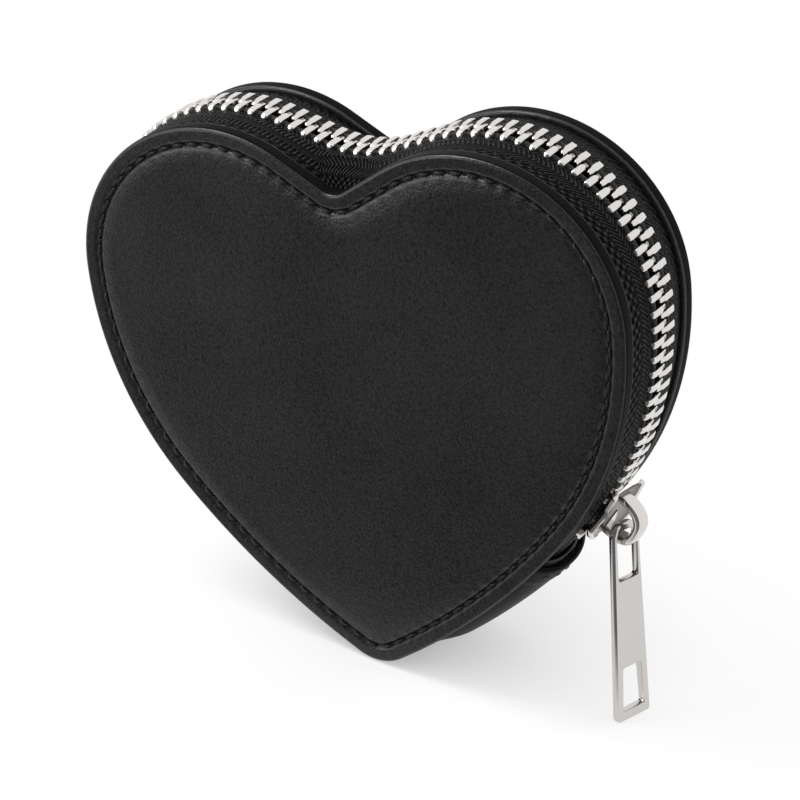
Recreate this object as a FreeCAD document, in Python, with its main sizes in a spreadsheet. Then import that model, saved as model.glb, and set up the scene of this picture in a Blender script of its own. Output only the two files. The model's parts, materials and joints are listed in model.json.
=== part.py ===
import FreeCAD, Part
import math
import os

import Sketcher

# Heart shaped purse: two stiffened leather hearts, a zip round the upper side wall, a leather
# gusset round the tip, a slider and its pull. Millimetres, +Z up, front towards -Y. It is built with
# the tip at z = 0 and then moved so that the middle of the back face is the origin.

Vector = FreeCAD.Vector
Rotation = FreeCAD.Rotation
Placement = FreeCAD.Placement

doc = FreeCAD.newDocument("heart_shaped_purse")
sheet = doc.addObject("Spreadsheet::Sheet", "Sizes")

# Driving sizes, in millimetres, with angles in degrees
SIZES = (
    ("heart_width", 104.0),
    ("lobe_radius", 27.9),
    ("lobe_height", 67.9),
    ("side_radius_share", 0.8778),
    ("flank_radius_share", 1.969),
    ("tip_radius", 8.0),
    ("notch_radius", 3.8),
    ("notch_slope_share", 0.7594),
    ("purse_depth", 24.8),
    ("panel_depth", 3.0),
    ("leather_thickness", 1.0),
    ("leather_wall", 1.0),
    ("foam_thickness", 0.8),
    ("edge_round", 0.9),
    ("stitch_inset", 3.0),
    ("stitch_groove_width", 0.9),
    ("stitch_groove_depth", 0.4),
    ("stitch_pitch", 3.0),
    ("stitch_length", 2.3),
    ("thread_width", 0.6),
    ("thread_height", 0.55),
    ("seam_thickness", 0.6),
    ("seam_width", 5.5),
    ("lining_thickness", 0.4),
    ("wall_gap", 0.05),
    ("tape_inset", 1.0),
    ("chain_inset", 0.2),
    ("tape_thickness", 0.6),
    ("zip_notch_radius", 22.0),
    ("zip_notch_slope_share", 0.4655),
    ("cord_width", 1.3),
    ("cord_height", 1.4),
    ("cord_place", 2.25),
    ("chain_width", 7.4),
    ("chain_height", 2.5),
    ("tooth_pitch", 2.6),
    ("tooth_clamp_length", 1.5),
    ("tooth_head_length", 1.0),
    ("tooth_head_reach", 0.8),
    ("tooth_head_start", 1.2),
    ("tooth_head_height", 2.1),
    ("tooth_fit", 0.05),
    ("chain_end_gap", 4.6),
    ("stop_length", 2.0),
    ("stop_width", 3.0),
    ("stop_height", 2.5),
    ("stop_gap", 0.6),
    ("gusset_top_share", 0.324),
    ("gusset_thickness", 0.6),
    ("cord_end_gap", 0.3),
    ("gusset_stitch_drop", 2.2),
    ("gusset_stitch_count", 5),
    ("slider_angle", 35.5),
    ("slider_swing", 35.0),
    ("slider_roll", 8.0),
    ("slider_tail", 5.0),
    ("slider_waist", 0.8),
    ("slider_shoulder", 2.4),
    ("slider_mouth", 5.4),
    ("slider_tail_width", 9.4),
    ("slider_shoulder_width", 11.8),
    ("slider_mouth_width", 10.8),
    ("slider_plate", 1.1),
    ("slider_plate_round", 0.3),
    ("slider_channel", 4.2),
    ("slider_slot", 3.4),
    ("slider_lip", 0.6),
    ("wedge_tip", 0.3),
    ("wedge_shoulder", 3.2),
    ("wedge_width", 2.2),
    ("crown_shift", 0.8),
    ("crown_length", 9.2),
    ("crown_rise", 5.2),
    ("crown_hole_length", 6.6),
    ("crown_hole_rise", 3.9),
    ("crown_width", 2.8),
    ("crown_round", 0.4),
    ("pull_length", 37.8),
    ("pull_top_width", 5.7),
    ("pull_end_width", 7.6),
    ("pull_thickness", 1.6),
    ("pull_bar", 1.4),
    ("pull_round", 0.3),
    ("pull_corner", 0.8),
    ("pull_loop_length", 9.3),
    ("pull_loop_width", 4.1),
    ("pull_window_length", 8.3),
    ("pull_window_top", 3.9),
    ("pull_window_end", 4.6),
    ("pull_end_bar", 2.0),
    ("pull_hang", 1.95),
    ("pull_twist", 22.0),
    ("pull_lean", 1.8),
    ("back_mount_height", 48.0),
    ("cut_overrun", 5.0),
)

# Sizes that follow from the driving sizes
DERIVED = (
    ("half_depth", "=purse_depth / 2"),
    ("lobe_offset", "=heart_width / 2 - lobe_radius"),
    ("side_radius", "=lobe_height * side_radius_share"),
    ("flank_radius", "=lobe_height * flank_radius_share"),
    ("notch_slope", "=notch_slope_share * atan2(lobe_offset; lobe_radius) / 1 deg"),
    ("zip_notch_slope", "=zip_notch_slope_share * atan2(lobe_offset; lobe_radius) / 1 deg"),
    ("gusset_top", "=lobe_height * gusset_top_share"),
    ("chain_end", "=gusset_top + chain_end_gap"),
    ("inner_face", "=half_depth - panel_depth"),
    ("gusset_width", "=2 * inner_face"),
    ("board_thickness", "=panel_depth - leather_thickness - foam_thickness"),
    ("foam_floor", "=half_depth - leather_thickness - foam_thickness"),
    ("pocket_depth", "=panel_depth - leather_thickness"),
    ("groove_outer", "=stitch_inset - stitch_groove_width / 2"),
    ("groove_inner", "=stitch_inset + stitch_groove_width / 2"),
    ("tape_back", "=tape_inset + tape_thickness"),
    ("tape_edge_inset", "=chain_inset - tape_thickness / 2"),
    ("tape_edge_back", "=chain_inset + tape_thickness / 2"),
    ("seam_inner", "=tape_inset + seam_width"),
    ("lining_inset", "=tape_back + wall_gap"),
    ("lining_back", "=lining_inset + lining_thickness"),
    ("lining_floor", "=inner_face - seam_thickness - lining_thickness"),
    ("cord_outer_face", "=cord_place + cord_width / 2"),
    ("cord_inner_face", "=cord_place - cord_width / 2"),
    ("tape_bend", "=max(chain_width / 2; cord_inner_face + stop_width) + tooth_fit"),
    ("tape_slot_length", "=tape_bend - cord_outer_face"),
    ("cord_outer_inset", "=chain_inset - cord_height / 2"),
    ("cord_inner_inset", "=chain_inset + cord_height / 2"),
    ("cord_end", "=gusset_top + cord_end_gap"),
    ("gusset_hollow", "=gusset_width - 2 * seam_thickness"),
    ("gusset_lining_width", "=2 * lining_floor"),
    ("slider_height", "=slider_channel + 2 * slider_plate"),
    ("slider_plate_floor", "=slider_channel / 2"),
    ("slider_lip_height", "=slider_channel / 2 - slider_slot / 2"),
    ("slider_lip_floor", "=slider_slot / 2"),
    ("slider_top", "=slider_height / 2"),
)

for row, (name, amount) in enumerate(SIZES + DERIVED, start=1):
    sheet.set("A%d" % row, name)
    sheet.set("B%d" % row, str(amount))
    sheet.setAlias("B%d" % row, name)
doc.recompute()


def size(name):
    """The number that a named cell of the sheet holds."""
    return float(getattr(sheet, name))


def bind(thing, prop, name, unit=""):
    """Bind one property to a named cell, with a sign or a unit where it needs one."""
    sign = ""
    if name.startswith("-"):
        sign = "-"
        name = name[1:]
    thing.setExpression(prop, sign + "Sizes." + name + unit)


# Outline of the heart: a tip arc, then on each side a flank arc, a side arc and a lobe arc, all
# tangent, and a straight run into a rounded notch. An inset outline keeps the same centres.
def polar(centre, radius, angle):
    """A point at an angle on a circle."""
    return (centre[0] + radius * math.cos(angle), centre[1] + radius * math.sin(angle))


# The panels have a sharp notch; the zip runs through it in a wider curve
OUTLINES = {
    "panel": ("notch_radius", "notch_slope"),
    "zip": ("zip_notch_radius", "zip_notch_slope"),
}


def centres(shape):
    """Arc centres and joint angles of the right half."""
    notch_name, slope_name = OUTLINES[shape]
    lobe = (size("lobe_offset"), size("lobe_height"))
    side = (lobe[0] - (size("side_radius") - size("lobe_radius")), lobe[1])
    tip = (0.0, size("tip_radius"))
    to_side = size("flank_radius") - size("side_radius")
    to_tip = size("flank_radius") - size("tip_radius")
    across = (tip[0] - side[0], tip[1] - side[1])
    span = math.hypot(across[0], across[1])
    along = (to_side ** 2 - to_tip ** 2 + span ** 2) / (2 * span)
    away = math.sqrt(to_side ** 2 - along ** 2)
    unit = (across[0] / span, across[1] / span)
    flank = (
        side[0] + along * unit[0] + away * unit[1],
        side[1] + along * unit[1] - away * unit[0],
    )
    slope = math.radians(size(slope_name))
    start = polar(lobe, size("lobe_radius"), math.pi / 2 + slope)
    apex = start[1] - start[0] * math.tan(slope)
    notch = (0.0, apex + size(notch_name) / math.cos(slope))
    return {
        "lobe": lobe,
        "side": side,
        "tip": tip,
        "flank": flank,
        "notch": notch,
        "slope": slope,
        "side_turn": math.atan2(side[1] - flank[1], side[0] - flank[0]),
        "tip_turn": math.atan2(tip[1] - flank[1], tip[0] - flank[0]),
    }


def arc(centre, radius, start, end):
    """A counter-clockwise arc for a sketch."""
    circle = Part.Circle(Vector(centre[0], centre[1], 0), Vector(0, 0, 1), radius)
    return Part.ArcOfCircle(circle, start, end)


def segment(start, end):
    """A straight run for a sketch."""
    return Part.LineSegment(Vector(start[0], start[1], 0), Vector(end[0], end[1], 0))


def mirrored(point):
    """The same point on the left half."""
    return (-point[0], point[1])


RADII = ("tip_radius", "flank_radius", "side_radius", "lobe_radius")


def heart_loop(sketch, inset_name=None, shape="panel"):
    """Add one closed heart outline, inset from the panel's edge, with its constraints."""
    inset = size(inset_name) if inset_name else 0.0
    base = centres(shape)
    notch_name, slope_name = OUTLINES[shape]
    tip_r, flank_r, side_r, lobe_r = [size(name) - inset for name in RADII]
    notch_r = size(notch_name) + inset
    slope = base["slope"]
    low = base["tip_turn"]
    mid = base["side_turn"]
    lobe_end = polar(base["lobe"], lobe_r, math.pi / 2 + slope)
    notch_end = polar(base["notch"], notch_r, slope - math.pi / 2)
    left = {key: mirrored(base[key]) for key in ("flank", "side", "lobe")}
    first = sketch.GeometryCount
    pieces = [
        arc(base["tip"], tip_r, math.pi - low, 2 * math.pi + low),
        arc(base["flank"], flank_r, low, mid),
        arc(base["side"], side_r, mid, 0.0),
        arc(base["lobe"], lobe_r, 0.0, math.pi / 2 + slope),
        segment(notch_end, lobe_end),
        arc(base["notch"], notch_r, -math.pi / 2 - slope, slope - math.pi / 2),
        segment(mirrored(lobe_end), mirrored(notch_end)),
        arc(left["lobe"], lobe_r, math.pi / 2 - slope, math.pi),
        arc(left["side"], side_r, math.pi, math.pi - mid),
        arc(left["flank"], flank_r, math.pi - mid, math.pi - low),
    ]
    sketch.addGeometry(pieces, False)
    tip, flank, side, lobe, run, notch, run_b, lobe_b, side_b, flank_b = range(first, first + 10)
    joints = (
        (tip, 2, flank, 1),
        (flank, 2, side, 1),
        (side, 2, lobe, 1),
        (lobe, 2, run, 2),
        (run, 1, notch, 2),
        (notch, 1, run_b, 2),
        (run_b, 1, lobe_b, 1),
        (lobe_b, 2, side_b, 1),
        (side_b, 2, flank_b, 1),
        (flank_b, 2, tip, 1),
    )
    for joint in joints:
        sketch.addConstraint(Sketcher.Constraint("Tangent", *joint))
    less = " - Sizes." + inset_name if inset_name else ""
    more = " + Sizes." + inset_name if inset_name else ""
    radii = (
        (tip, tip_r, "tip_radius", less),
        (flank, flank_r, "flank_radius", less),
        (flank_b, flank_r, "flank_radius", less),
        (side, side_r, "side_radius", less),
        (side_b, side_r, "side_radius", less),
        (lobe, lobe_r, "lobe_radius", less),
        (lobe_b, lobe_r, "lobe_radius", less),
        (notch, notch_r, notch_name, more),
    )
    for piece, radius, name, rest in radii:
        at = sketch.addConstraint(Sketcher.Constraint("Radius", piece, radius))
        sketch.setExpression("Constraints[%d]" % at, "Sizes." + name + rest)
    places = (
        ("DistanceX", -1, 1, lobe, 3, "lobe_offset"),
        ("DistanceX", lobe_b, 3, -1, 1, "lobe_offset"),
        ("DistanceY", -1, 1, lobe, 3, "lobe_height"),
        ("DistanceY", -1, 1, lobe_b, 3, "lobe_height"),
        ("DistanceY", -1, 1, side, 3, "lobe_height"),
        ("DistanceY", -1, 1, side_b, 3, "lobe_height"),
        ("DistanceY", -1, 1, tip, 3, "tip_radius"),
    )
    for kind, one, one_end, two, two_end, name in places:
        rule = Sketcher.Constraint(kind, one, one_end, two, two_end, size(name))
        at = sketch.addConstraint(rule)
        bind(sketch, "Constraints[%d]" % at, name)
    sketch.addConstraint(Sketcher.Constraint("PointOnObject", tip, 3, -2))
    for piece, sign in ((run, ""), (run_b, "-")):
        turn = -slope if sign else slope
        at = sketch.addConstraint(Sketcher.Constraint("Angle", piece, turn))
        bind(sketch, "Constraints[%d]" % at, sign + slope_name, " * 1 deg")


# Bodies, sketches and features
def body(label):
    """A new body that carries one sub-part."""
    made = doc.addObject("PartDesign::Body", label)
    made.Label = label
    return made


def origin_plane(owner, role):
    """One of a body's own origin planes."""
    return [plane for plane in owner.Origin.OriginFeatures if plane.Role == role][0]


def sketch_on(owner, name, offset_name=None, role="XZ_Plane"):
    """A sketch on an origin plane; on the XZ plane a positive offset lies towards the front."""
    made = owner.newObject("Sketcher::SketchObject", name)
    made.AttachmentSupport = [(origin_plane(owner, role), "")]
    made.MapMode = "FlatFace"
    if offset_name:
        bind(made, "AttachmentOffset.Base.z", offset_name)
    return made


def pad(owner, sketch, name, length_name, back=False, middle=False):
    """Pad a sketch along its normal, or the other way, or both ways."""
    made = owner.newObject("PartDesign::Pad", name)
    made.Profile = sketch
    bind(made, "Length", length_name)
    made.Reversed = back
    made.Midplane = middle
    doc.recompute()
    return made


def pocket(owner, sketch, name, length_name, along=False, middle=False):
    """Pocket a sketch against its normal, or along it, and check that it cuts."""
    before = owner.Shape.Volume
    made = owner.newObject("PartDesign::Pocket", name)
    made.Profile = sketch
    bind(made, "Length", length_name)
    made.Reversed = along
    made.Midplane = middle
    doc.recompute()
    if owner.Shape.Volume >= before:
        raise ValueError(owner.Label + ": " + name + " cuts nothing")
    return made


def loft(owner, name, kind, first, second):
    """Loft straight from one outline to the next, as material or as a cut."""
    made = owner.newObject("PartDesign::" + kind, name)
    made.Profile = first
    made.Sections = [second]
    made.Ruled = True
    doc.recompute()
    return made


def fillet(owner, name, base, edges, radius_name):
    """Round the named edges of a feature."""
    made = owner.newObject("PartDesign::Fillet", name)
    made.Base = (base, edges)
    bind(made, "Radius", radius_name)
    doc.recompute()
    return made


def edges_at(shape, low, high, axis):
    """Names of the edges that lie between two planes of an axis."""
    found = []
    for index, edge in enumerate(shape.Edges, start=1):
        box = edge.BoundBox
        least = (box.XMin, box.YMin, box.ZMin)[axis]
        most = (box.XMax, box.YMax, box.ZMax)[axis]
        if least >= low and most <= high:
            found.append("Edge%d" % index)
    return found


def polygon(sketch, points, names):
    """A closed polygon whose corners are bound to named sizes, two names to a corner."""
    first = sketch.GeometryCount
    count = len(points)
    for index in range(count):
        sketch.addGeometry(segment(points[index], points[(index + 1) % count]), False)
    for index in range(count):
        joint = (first + index, 2, first + (index + 1) % count, 1)
        sketch.addConstraint(Sketcher.Constraint("Coincident", *joint))
    for index, (point, (across, up)) in enumerate(zip(points, names)):
        for kind, amount, name in (("DistanceX", point[0], across), ("DistanceY", point[1], up)):
            corner = (first + index, 1)
            if name is None:
                axis = -2 if kind == "DistanceX" else -1
                sketch.addConstraint(Sketcher.Constraint("PointOnObject", *corner, axis))
            elif amount < 0:
                rule = Sketcher.Constraint(kind, *corner, -1, 1, -amount)
                at = sketch.addConstraint(rule)
                sketch.setExpression("Constraints[%d]" % at, name)
            else:
                rule = Sketcher.Constraint(kind, -1, 1, *corner, amount)
                at = sketch.addConstraint(rule)
                sketch.setExpression("Constraints[%d]" % at, name)


def corner_loop(sketch, corners):
    """A polygon from (value, expression) pairs, where the expression gives the plain distance."""
    points = [(across[0], up[0]) for across, up in corners]
    names = [(across[1], up[1]) for across, up in corners]
    polygon(sketch, points, names)


def below(owner, name, level_name):
    """Cut away all of a body that lies below a level."""
    cut = sketch_on(owner, name + "_sketch")
    half = size("heart_width") / 2 + size("cut_overrun")
    level = size(level_name)
    low = size("cut_overrun")
    wide = "Sizes.heart_width / 2 + Sizes.cut_overrun"
    corner_loop(
        cut,
        (
            ((-half, wide), (-low, "Sizes.cut_overrun")),
            ((half, wide), (-low, "Sizes.cut_overrun")),
            ((half, wide), (level, "Sizes." + level_name)),
            ((-half, wide), (level, "Sizes." + level_name)),
        ),
    )
    return pocket(owner, cut, name, "purse_depth", middle=True)


def above(owner, name, level_name):
    """Cut away all of a body that lies above a level."""
    cut = sketch_on(owner, name + "_sketch")
    half = size("heart_width") / 2 + size("cut_overrun")
    level = size(level_name)
    high = size("lobe_height") + size("lobe_radius") + size("cut_overrun")
    wide = "Sizes.heart_width / 2 + Sizes.cut_overrun"
    tall = "Sizes.lobe_height + Sizes.lobe_radius + Sizes.cut_overrun"
    corner_loop(
        cut,
        (
            ((-half, wide), (level, "Sizes." + level_name)),
            ((half, wide), (level, "Sizes." + level_name)),
            ((half, wide), (high, tall)),
            ((-half, wide), (high, tall)),
        ),
    )
    return pocket(owner, cut, name, "purse_depth", middle=True)


def loops(owner, name, offset_name, insets, shape="panel"):
    """A sketch with one or two heart outlines."""
    made = sketch_on(owner, name, offset_name)
    for inset_name in insets:
        heart_loop(made, inset_name, shape)
    doc.recompute()
    return made


# Path of the zip chain: from the lower end of the right side arc over both lobes to the left one
def path_pieces(inset, shape):
    """Runs of the right half path, each as (length, point and heading at a distance)."""
    base = centres(shape)
    slope = base["slope"]
    runs = []

    def along_arc(centre, radius, start, sign):
        def at(distance):
            angle = start + sign * distance / radius
            return polar(centre, radius, angle), angle + sign * math.pi / 2
        return at

    def along_line(start, heading):
        def at(distance):
            return polar(start, distance, heading), heading
        return at

    side_r = size("side_radius") - inset
    lobe_r = size("lobe_radius") - inset
    notch_r = size(OUTLINES[shape][0]) + inset
    turn = base["side_turn"]
    runs.append((-turn * side_r, along_arc(base["side"], side_r, turn, 1)))
    runs.append(((math.pi / 2 + slope) * lobe_r, along_arc(base["lobe"], lobe_r, 0.0, 1)))
    lobe_end = polar(base["lobe"], lobe_r, math.pi / 2 + slope)
    notch_end = polar(base["notch"], notch_r, slope - math.pi / 2)
    straight = math.hypot(lobe_end[0] - notch_end[0], lobe_end[1] - notch_end[1])
    runs.append((straight, along_line(lobe_end, math.pi + slope)))
    runs.append((slope * notch_r, along_arc(base["notch"], notch_r, slope - math.pi / 2, -1)))
    flank_r = size("flank_radius") - inset
    flank = along_arc(base["flank"], flank_r, turn, 1)
    return runs, flank


def path_length(inset, shape):
    """Length of the path from one side arc's lower end to the other's."""
    runs, flank = path_pieces(inset, shape)
    return 2 * sum(run[0] for run in runs)


def path_frame(distance, inset, shape):
    """Point and heading of the path; past its ends it runs on along the flanks."""
    runs, flank = path_pieces(inset, shape)
    whole = 2 * sum(run[0] for run in runs)
    if distance > whole / 2:
        point, heading = path_frame(whole - distance, inset, shape)
        return mirrored(point), -heading
    if distance <= 0:
        return flank(distance)
    for length, at in runs:
        if distance <= length:
            return at(distance)
        distance -= length
    return runs[-1][1](runs[-1][0])


def station(distance, inset, shape, depth=0.0):
    """Placement of a piece on the path: its x along the path, its y to the front, its z outwards."""
    point, heading = path_frame(distance, inset, shape)
    ahead = Vector(math.cos(heading), 0, math.sin(heading))
    outward = Vector(math.sin(heading), 0, -math.cos(heading))
    front = Vector(0, -1, 0)
    matrix = FreeCAD.Matrix(
        ahead.x, front.x, outward.x, point[0],
        ahead.y, front.y, outward.y, depth,
        ahead.z, front.z, outward.z, point[1],
        0, 0, 0, 1,
    )
    return Placement(matrix)


def group(label, shapes):
    """A sub-part made of separate equal solids."""
    made = doc.addObject("Part::Feature", label)
    made.Label = label
    made.Shape = Part.makeCompound(shapes)
    return made


subparts = []
SIDES = ("front", "back")


def facing_of(side_name):
    """Plus one for the front half and minus one for the back half."""
    return 1 if side_name == "front" else -1


# Panels: leather turned over foam and board, with a stitch groove, and the lining inside
for side_name in SIDES:
    facing = facing_of(side_name)
    is_back = facing < 0
    sign = "-" if is_back else ""

    panel = body(side_name + "_leather_panel")
    outline = loops(panel, "outline", sign + "inner_face", (None,))
    block = pad(panel, outline, "block", "panel_depth", back=is_back)
    face = -facing * size("half_depth")
    near = size("wall_gap") / 2
    rim = edges_at(block.Shape, face - near, face + near, 1)
    fillet(panel, "rounded_edge", block, rim, "edge_round")
    hollow = loops(panel, "hollow", sign + "inner_face", ("leather_wall",))
    pocket(panel, hollow, "hollow_cut", "pocket_depth", along=not is_back)
    groove = loops(panel, "groove", sign + "half_depth", ("groove_outer", "groove_inner"))
    pocket(panel, groove, "stitch_groove", "stitch_groove_depth", along=is_back)
    subparts.append(panel)

    foam = body(side_name + "_foam")
    foam_outline = loops(foam, "outline", sign + "foam_floor", ("leather_wall",))
    pad(foam, foam_outline, "sheet", "foam_thickness", back=is_back)
    subparts.append(foam)

    board = body(side_name + "_board")
    board_outline = loops(board, "outline", sign + "inner_face", ("leather_wall",))
    pad(board, board_outline, "sheet", "board_thickness", back=is_back)
    subparts.append(board)

    lining = body(side_name + "_lining")
    lining_outline = loops(lining, "outline", sign + "lining_floor", ("lining_inset",))
    pad(lining, lining_outline, "sheet", "lining_thickness", back=is_back)
    subparts.append(lining)

    tape = body(side_name + "_zip_tape")
    sewn_edge = loops(tape, "sewn_edge", sign + "inner_face", ("tape_inset",))
    zip_edge = loops(tape, "zip_edge", sign + "tape_bend", ("tape_edge_inset",), "zip")
    loft(tape, "woven_block", "AdditiveLoft", sewn_edge, zip_edge)
    sewn_back = loops(tape, "sewn_back", sign + "inner_face", ("tape_back",))
    zip_back = loops(tape, "zip_back", sign + "tape_bend", ("tape_edge_back",), "zip")
    loft(tape, "woven_wall", "SubtractiveLoft", sewn_back, zip_back)
    slot_edges = ("tape_edge_inset", "tape_edge_back")
    slot_outline = loops(tape, "slot_part", sign + "cord_outer_face", slot_edges, "zip")
    pad(tape, slot_outline, "clamped_edge", "tape_slot_length", back=is_back)
    margin_outline = loops(tape, "margin", sign + "inner_face", ("tape_inset", "seam_inner"))
    pad(tape, margin_outline, "seam_margin", "seam_thickness", back=not is_back)
    below(tape, "lower_end", "gusset_top")
    subparts.append(tape)

    cord = body(side_name + "_zip_cord")
    cord_outline = loops(
        cord,
        "section",
        sign + "cord_inner_face",
        ("cord_outer_inset", "cord_inner_inset"),
        "zip",
    )
    pad(cord, cord_outline, "corded_edge", "cord_width", back=is_back)
    below(cord, "lower_end", "cord_end")
    subparts.append(cord)

# Stitches: short threads that lie in the groove of each panel
thread_half = size("thread_width") / 2
stitch_half = size("stitch_length") / 2
CHAMFER_SHARE = 0.5
thread_section = (
    (-thread_half, 0.0),
    (thread_half, 0.0),
    (thread_half, size("thread_height") * CHAMFER_SHARE),
    (thread_half * CHAMFER_SHARE, size("thread_height")),
    (-thread_half * CHAMFER_SHARE, size("thread_height")),
    (-thread_half, size("thread_height") * CHAMFER_SHARE),
)
thread_wire = Part.makePolygon(
    [Vector(-stitch_half, across, up) for across, up in thread_section + thread_section[:1]]
)
thread = Part.Face(thread_wire).extrude(Vector(size("stitch_length"), 0, 0))


def closed_path(inset, shape):
    """Length of a whole heart outline and a function that gives its point and heading."""
    whole = path_length(inset, shape)
    base = centres(shape)
    flank_r = size("flank_radius") - inset
    tip_r = size("tip_radius") - inset
    flank_run = (base["side_turn"] - base["tip_turn"]) * flank_r
    tip_run = (base["tip_turn"] + math.pi / 2) * tip_r
    lower = flank_run + tip_run

    def at(distance):
        if distance > lower + whole / 2:
            point, heading = at(2 * lower + whole - distance)
            return mirrored(point), -heading
        if distance < tip_run:
            angle = distance / tip_r - math.pi / 2
            return polar(base["tip"], tip_r, angle), angle + math.pi / 2
        if distance < lower:
            angle = base["tip_turn"] + (distance - tip_run) / flank_r
            return polar(base["flank"], flank_r, angle), angle + math.pi / 2
        return path_frame(distance - lower, inset, shape)

    return 2 * lower + whole, at


stitch_path, stitch_at = closed_path(size("stitch_inset"), "panel")
stitch_count = int(stitch_path // size("stitch_pitch"))
for side_name in SIDES:
    facing = facing_of(side_name)
    floor = -facing * (size("half_depth") - size("stitch_groove_depth"))
    threads = []
    for index in range(stitch_count):
        point, heading = stitch_at((index + 0.5) * stitch_path / stitch_count)
        ahead = Vector(math.cos(heading), 0, math.sin(heading))
        outward = Vector(0, -facing, 0)
        across = outward.cross(ahead)
        matrix = FreeCAD.Matrix(
            ahead.x, across.x, outward.x, point[0],
            ahead.y, across.y, outward.y, floor,
            ahead.z, across.z, outward.z, point[1],
            0, 0, 0, 1,
        )
        placed = thread.copy()
        placed.Placement = Placement(matrix)
        threads.append(placed)
    subparts.append(group(side_name + "_stitching", threads))

# Teeth: a clamp with a slot round the corded edge and a narrower head that meshes with the other row
fit = size("tooth_fit")
tooth = body("tooth")
tooth_sketch = sketch_on(tooth, "section", role="YZ_Plane")
outer = size("chain_width") / 2
tall = size("chain_height") / 2
head_tall = size("tooth_head_height") / 2
reach = size("tooth_head_reach")
neck = size("tooth_head_start")
slot_tape = size("tape_thickness") / 2 + fit
slot_cord = size("cord_height") / 2 + fit
cord_far = size("cord_outer_face") + fit
cord_near = size("cord_inner_face") - fit
far_name = "Sizes.chain_width / 2"
tall_name = "Sizes.chain_height / 2"
head_name = "Sizes.tooth_head_height / 2"
reach_name = "Sizes.tooth_head_reach"
neck_name = "Sizes.tooth_head_start"
slot_tape_name = "Sizes.tape_thickness / 2 + Sizes.tooth_fit"
slot_cord_name = "Sizes.cord_height / 2 + Sizes.tooth_fit"
cord_far_name = "Sizes.cord_outer_face + Sizes.tooth_fit"
cord_near_name = "Sizes.cord_inner_face - Sizes.tooth_fit"
corner_loop(
    tooth_sketch,
    (
        ((outer, far_name), (tall, tall_name)),
        ((neck, neck_name), (tall, tall_name)),
        ((-reach, reach_name), (head_tall, head_name)),
        ((-reach, reach_name), (-head_tall, head_name)),
        ((neck, neck_name), (-tall, tall_name)),
        ((outer, far_name), (-tall, tall_name)),
        ((outer, far_name), (-slot_tape, slot_tape_name)),
        ((cord_far, cord_far_name), (-slot_tape, slot_tape_name)),
        ((cord_far, cord_far_name), (-slot_cord, slot_cord_name)),
        ((cord_near, cord_near_name), (-slot_cord, slot_cord_name)),
        ((cord_near, cord_near_name), (slot_cord, slot_cord_name)),
        ((cord_far, cord_far_name), (slot_cord, slot_cord_name)),
        ((cord_far, cord_far_name), (slot_tape, slot_tape_name)),
        ((outer, far_name), (slot_tape, slot_tape_name)),
    ),
)
pad(tooth, tooth_sketch, "clamp", "tooth_clamp_length", middle=True)
trim_sketch = sketch_on(tooth, "head_trim", role="XY_Plane")
clamp_half = size("tooth_clamp_length") / 2
head_half = size("tooth_head_length") / 2
past = reach + size("cut_overrun")
wide = clamp_half + size("cut_overrun")
past_name = "Sizes.tooth_head_reach + Sizes.cut_overrun"
wide_name = "Sizes.tooth_clamp_length / 2 + Sizes.cut_overrun"
thin_name = "Sizes.tooth_head_length / 2"
for edge in (1, -1):
    corner_loop(
        trim_sketch,
        (
            ((edge * head_half, thin_name), (neck, neck_name)),
            ((edge * wide, wide_name), (neck, neck_name)),
            ((edge * wide, wide_name), (-past, past_name)),
            ((edge * head_half, thin_name), (-past, past_name)),
        ),
    )
doc.recompute()
pocket(tooth, trim_sketch, "head", "chain_width", middle=True)

chain_inset = size("chain_inset")
chain_radius = size("side_radius") - chain_inset
slider_turn = -math.radians(size("slider_angle"))
slider_place = (slider_turn - centres("zip")["side_turn"]) * chain_radius
slider_run = math.radians(size("slider_swing")) * chain_radius
chain_whole = path_length(chain_inset, "zip")
first_tooth = slider_place - size("wedge_tip") + size("tooth_clamp_length")


def chain_level(level):
    """Distance along the chain at which its left end comes down to a level."""
    low = chain_whole / 2
    high = chain_whole + size("flank_radius") / 2
    while high - low > size("wall_gap"):
        middle = (low + high) / 2
        if path_frame(middle, chain_inset, "zip")[0][1] > level:
            low = middle
        else:
            high = middle
    return (low + high) / 2


last_tooth = chain_level(size("chain_end"))
worked_end = slider_place + slider_run + size("slider_tail") + size("tooth_pitch")
tooth_count = int((last_tooth - first_tooth) / (size("tooth_pitch") / 2)) + 1
rows = {
    "front_zip_teeth": [],
    "front_slider_teeth": [],
    "back_zip_teeth": [],
    "back_slider_teeth": [],
}
for index in range(tooth_count):
    distance = first_tooth + index * size("tooth_pitch") / 2
    side_name = "front" if index % 2 == 0 else "back"
    row_name = side_name + ("_slider_teeth" if distance < worked_end else "_zip_teeth")
    spot = station(distance, chain_inset, "zip")
    if side_name == "back":
        spot = spot.multiply(Placement(Vector(0, 0, 0), Rotation(Vector(1, 0, 0), 180)))
    placed = tooth.Shape.copy()
    placed.Placement = spot.multiply(placed.Placement)
    rows[row_name].append(placed)
for row_name, shapes in rows.items():
    subparts.append(group(row_name, shapes))

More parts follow.
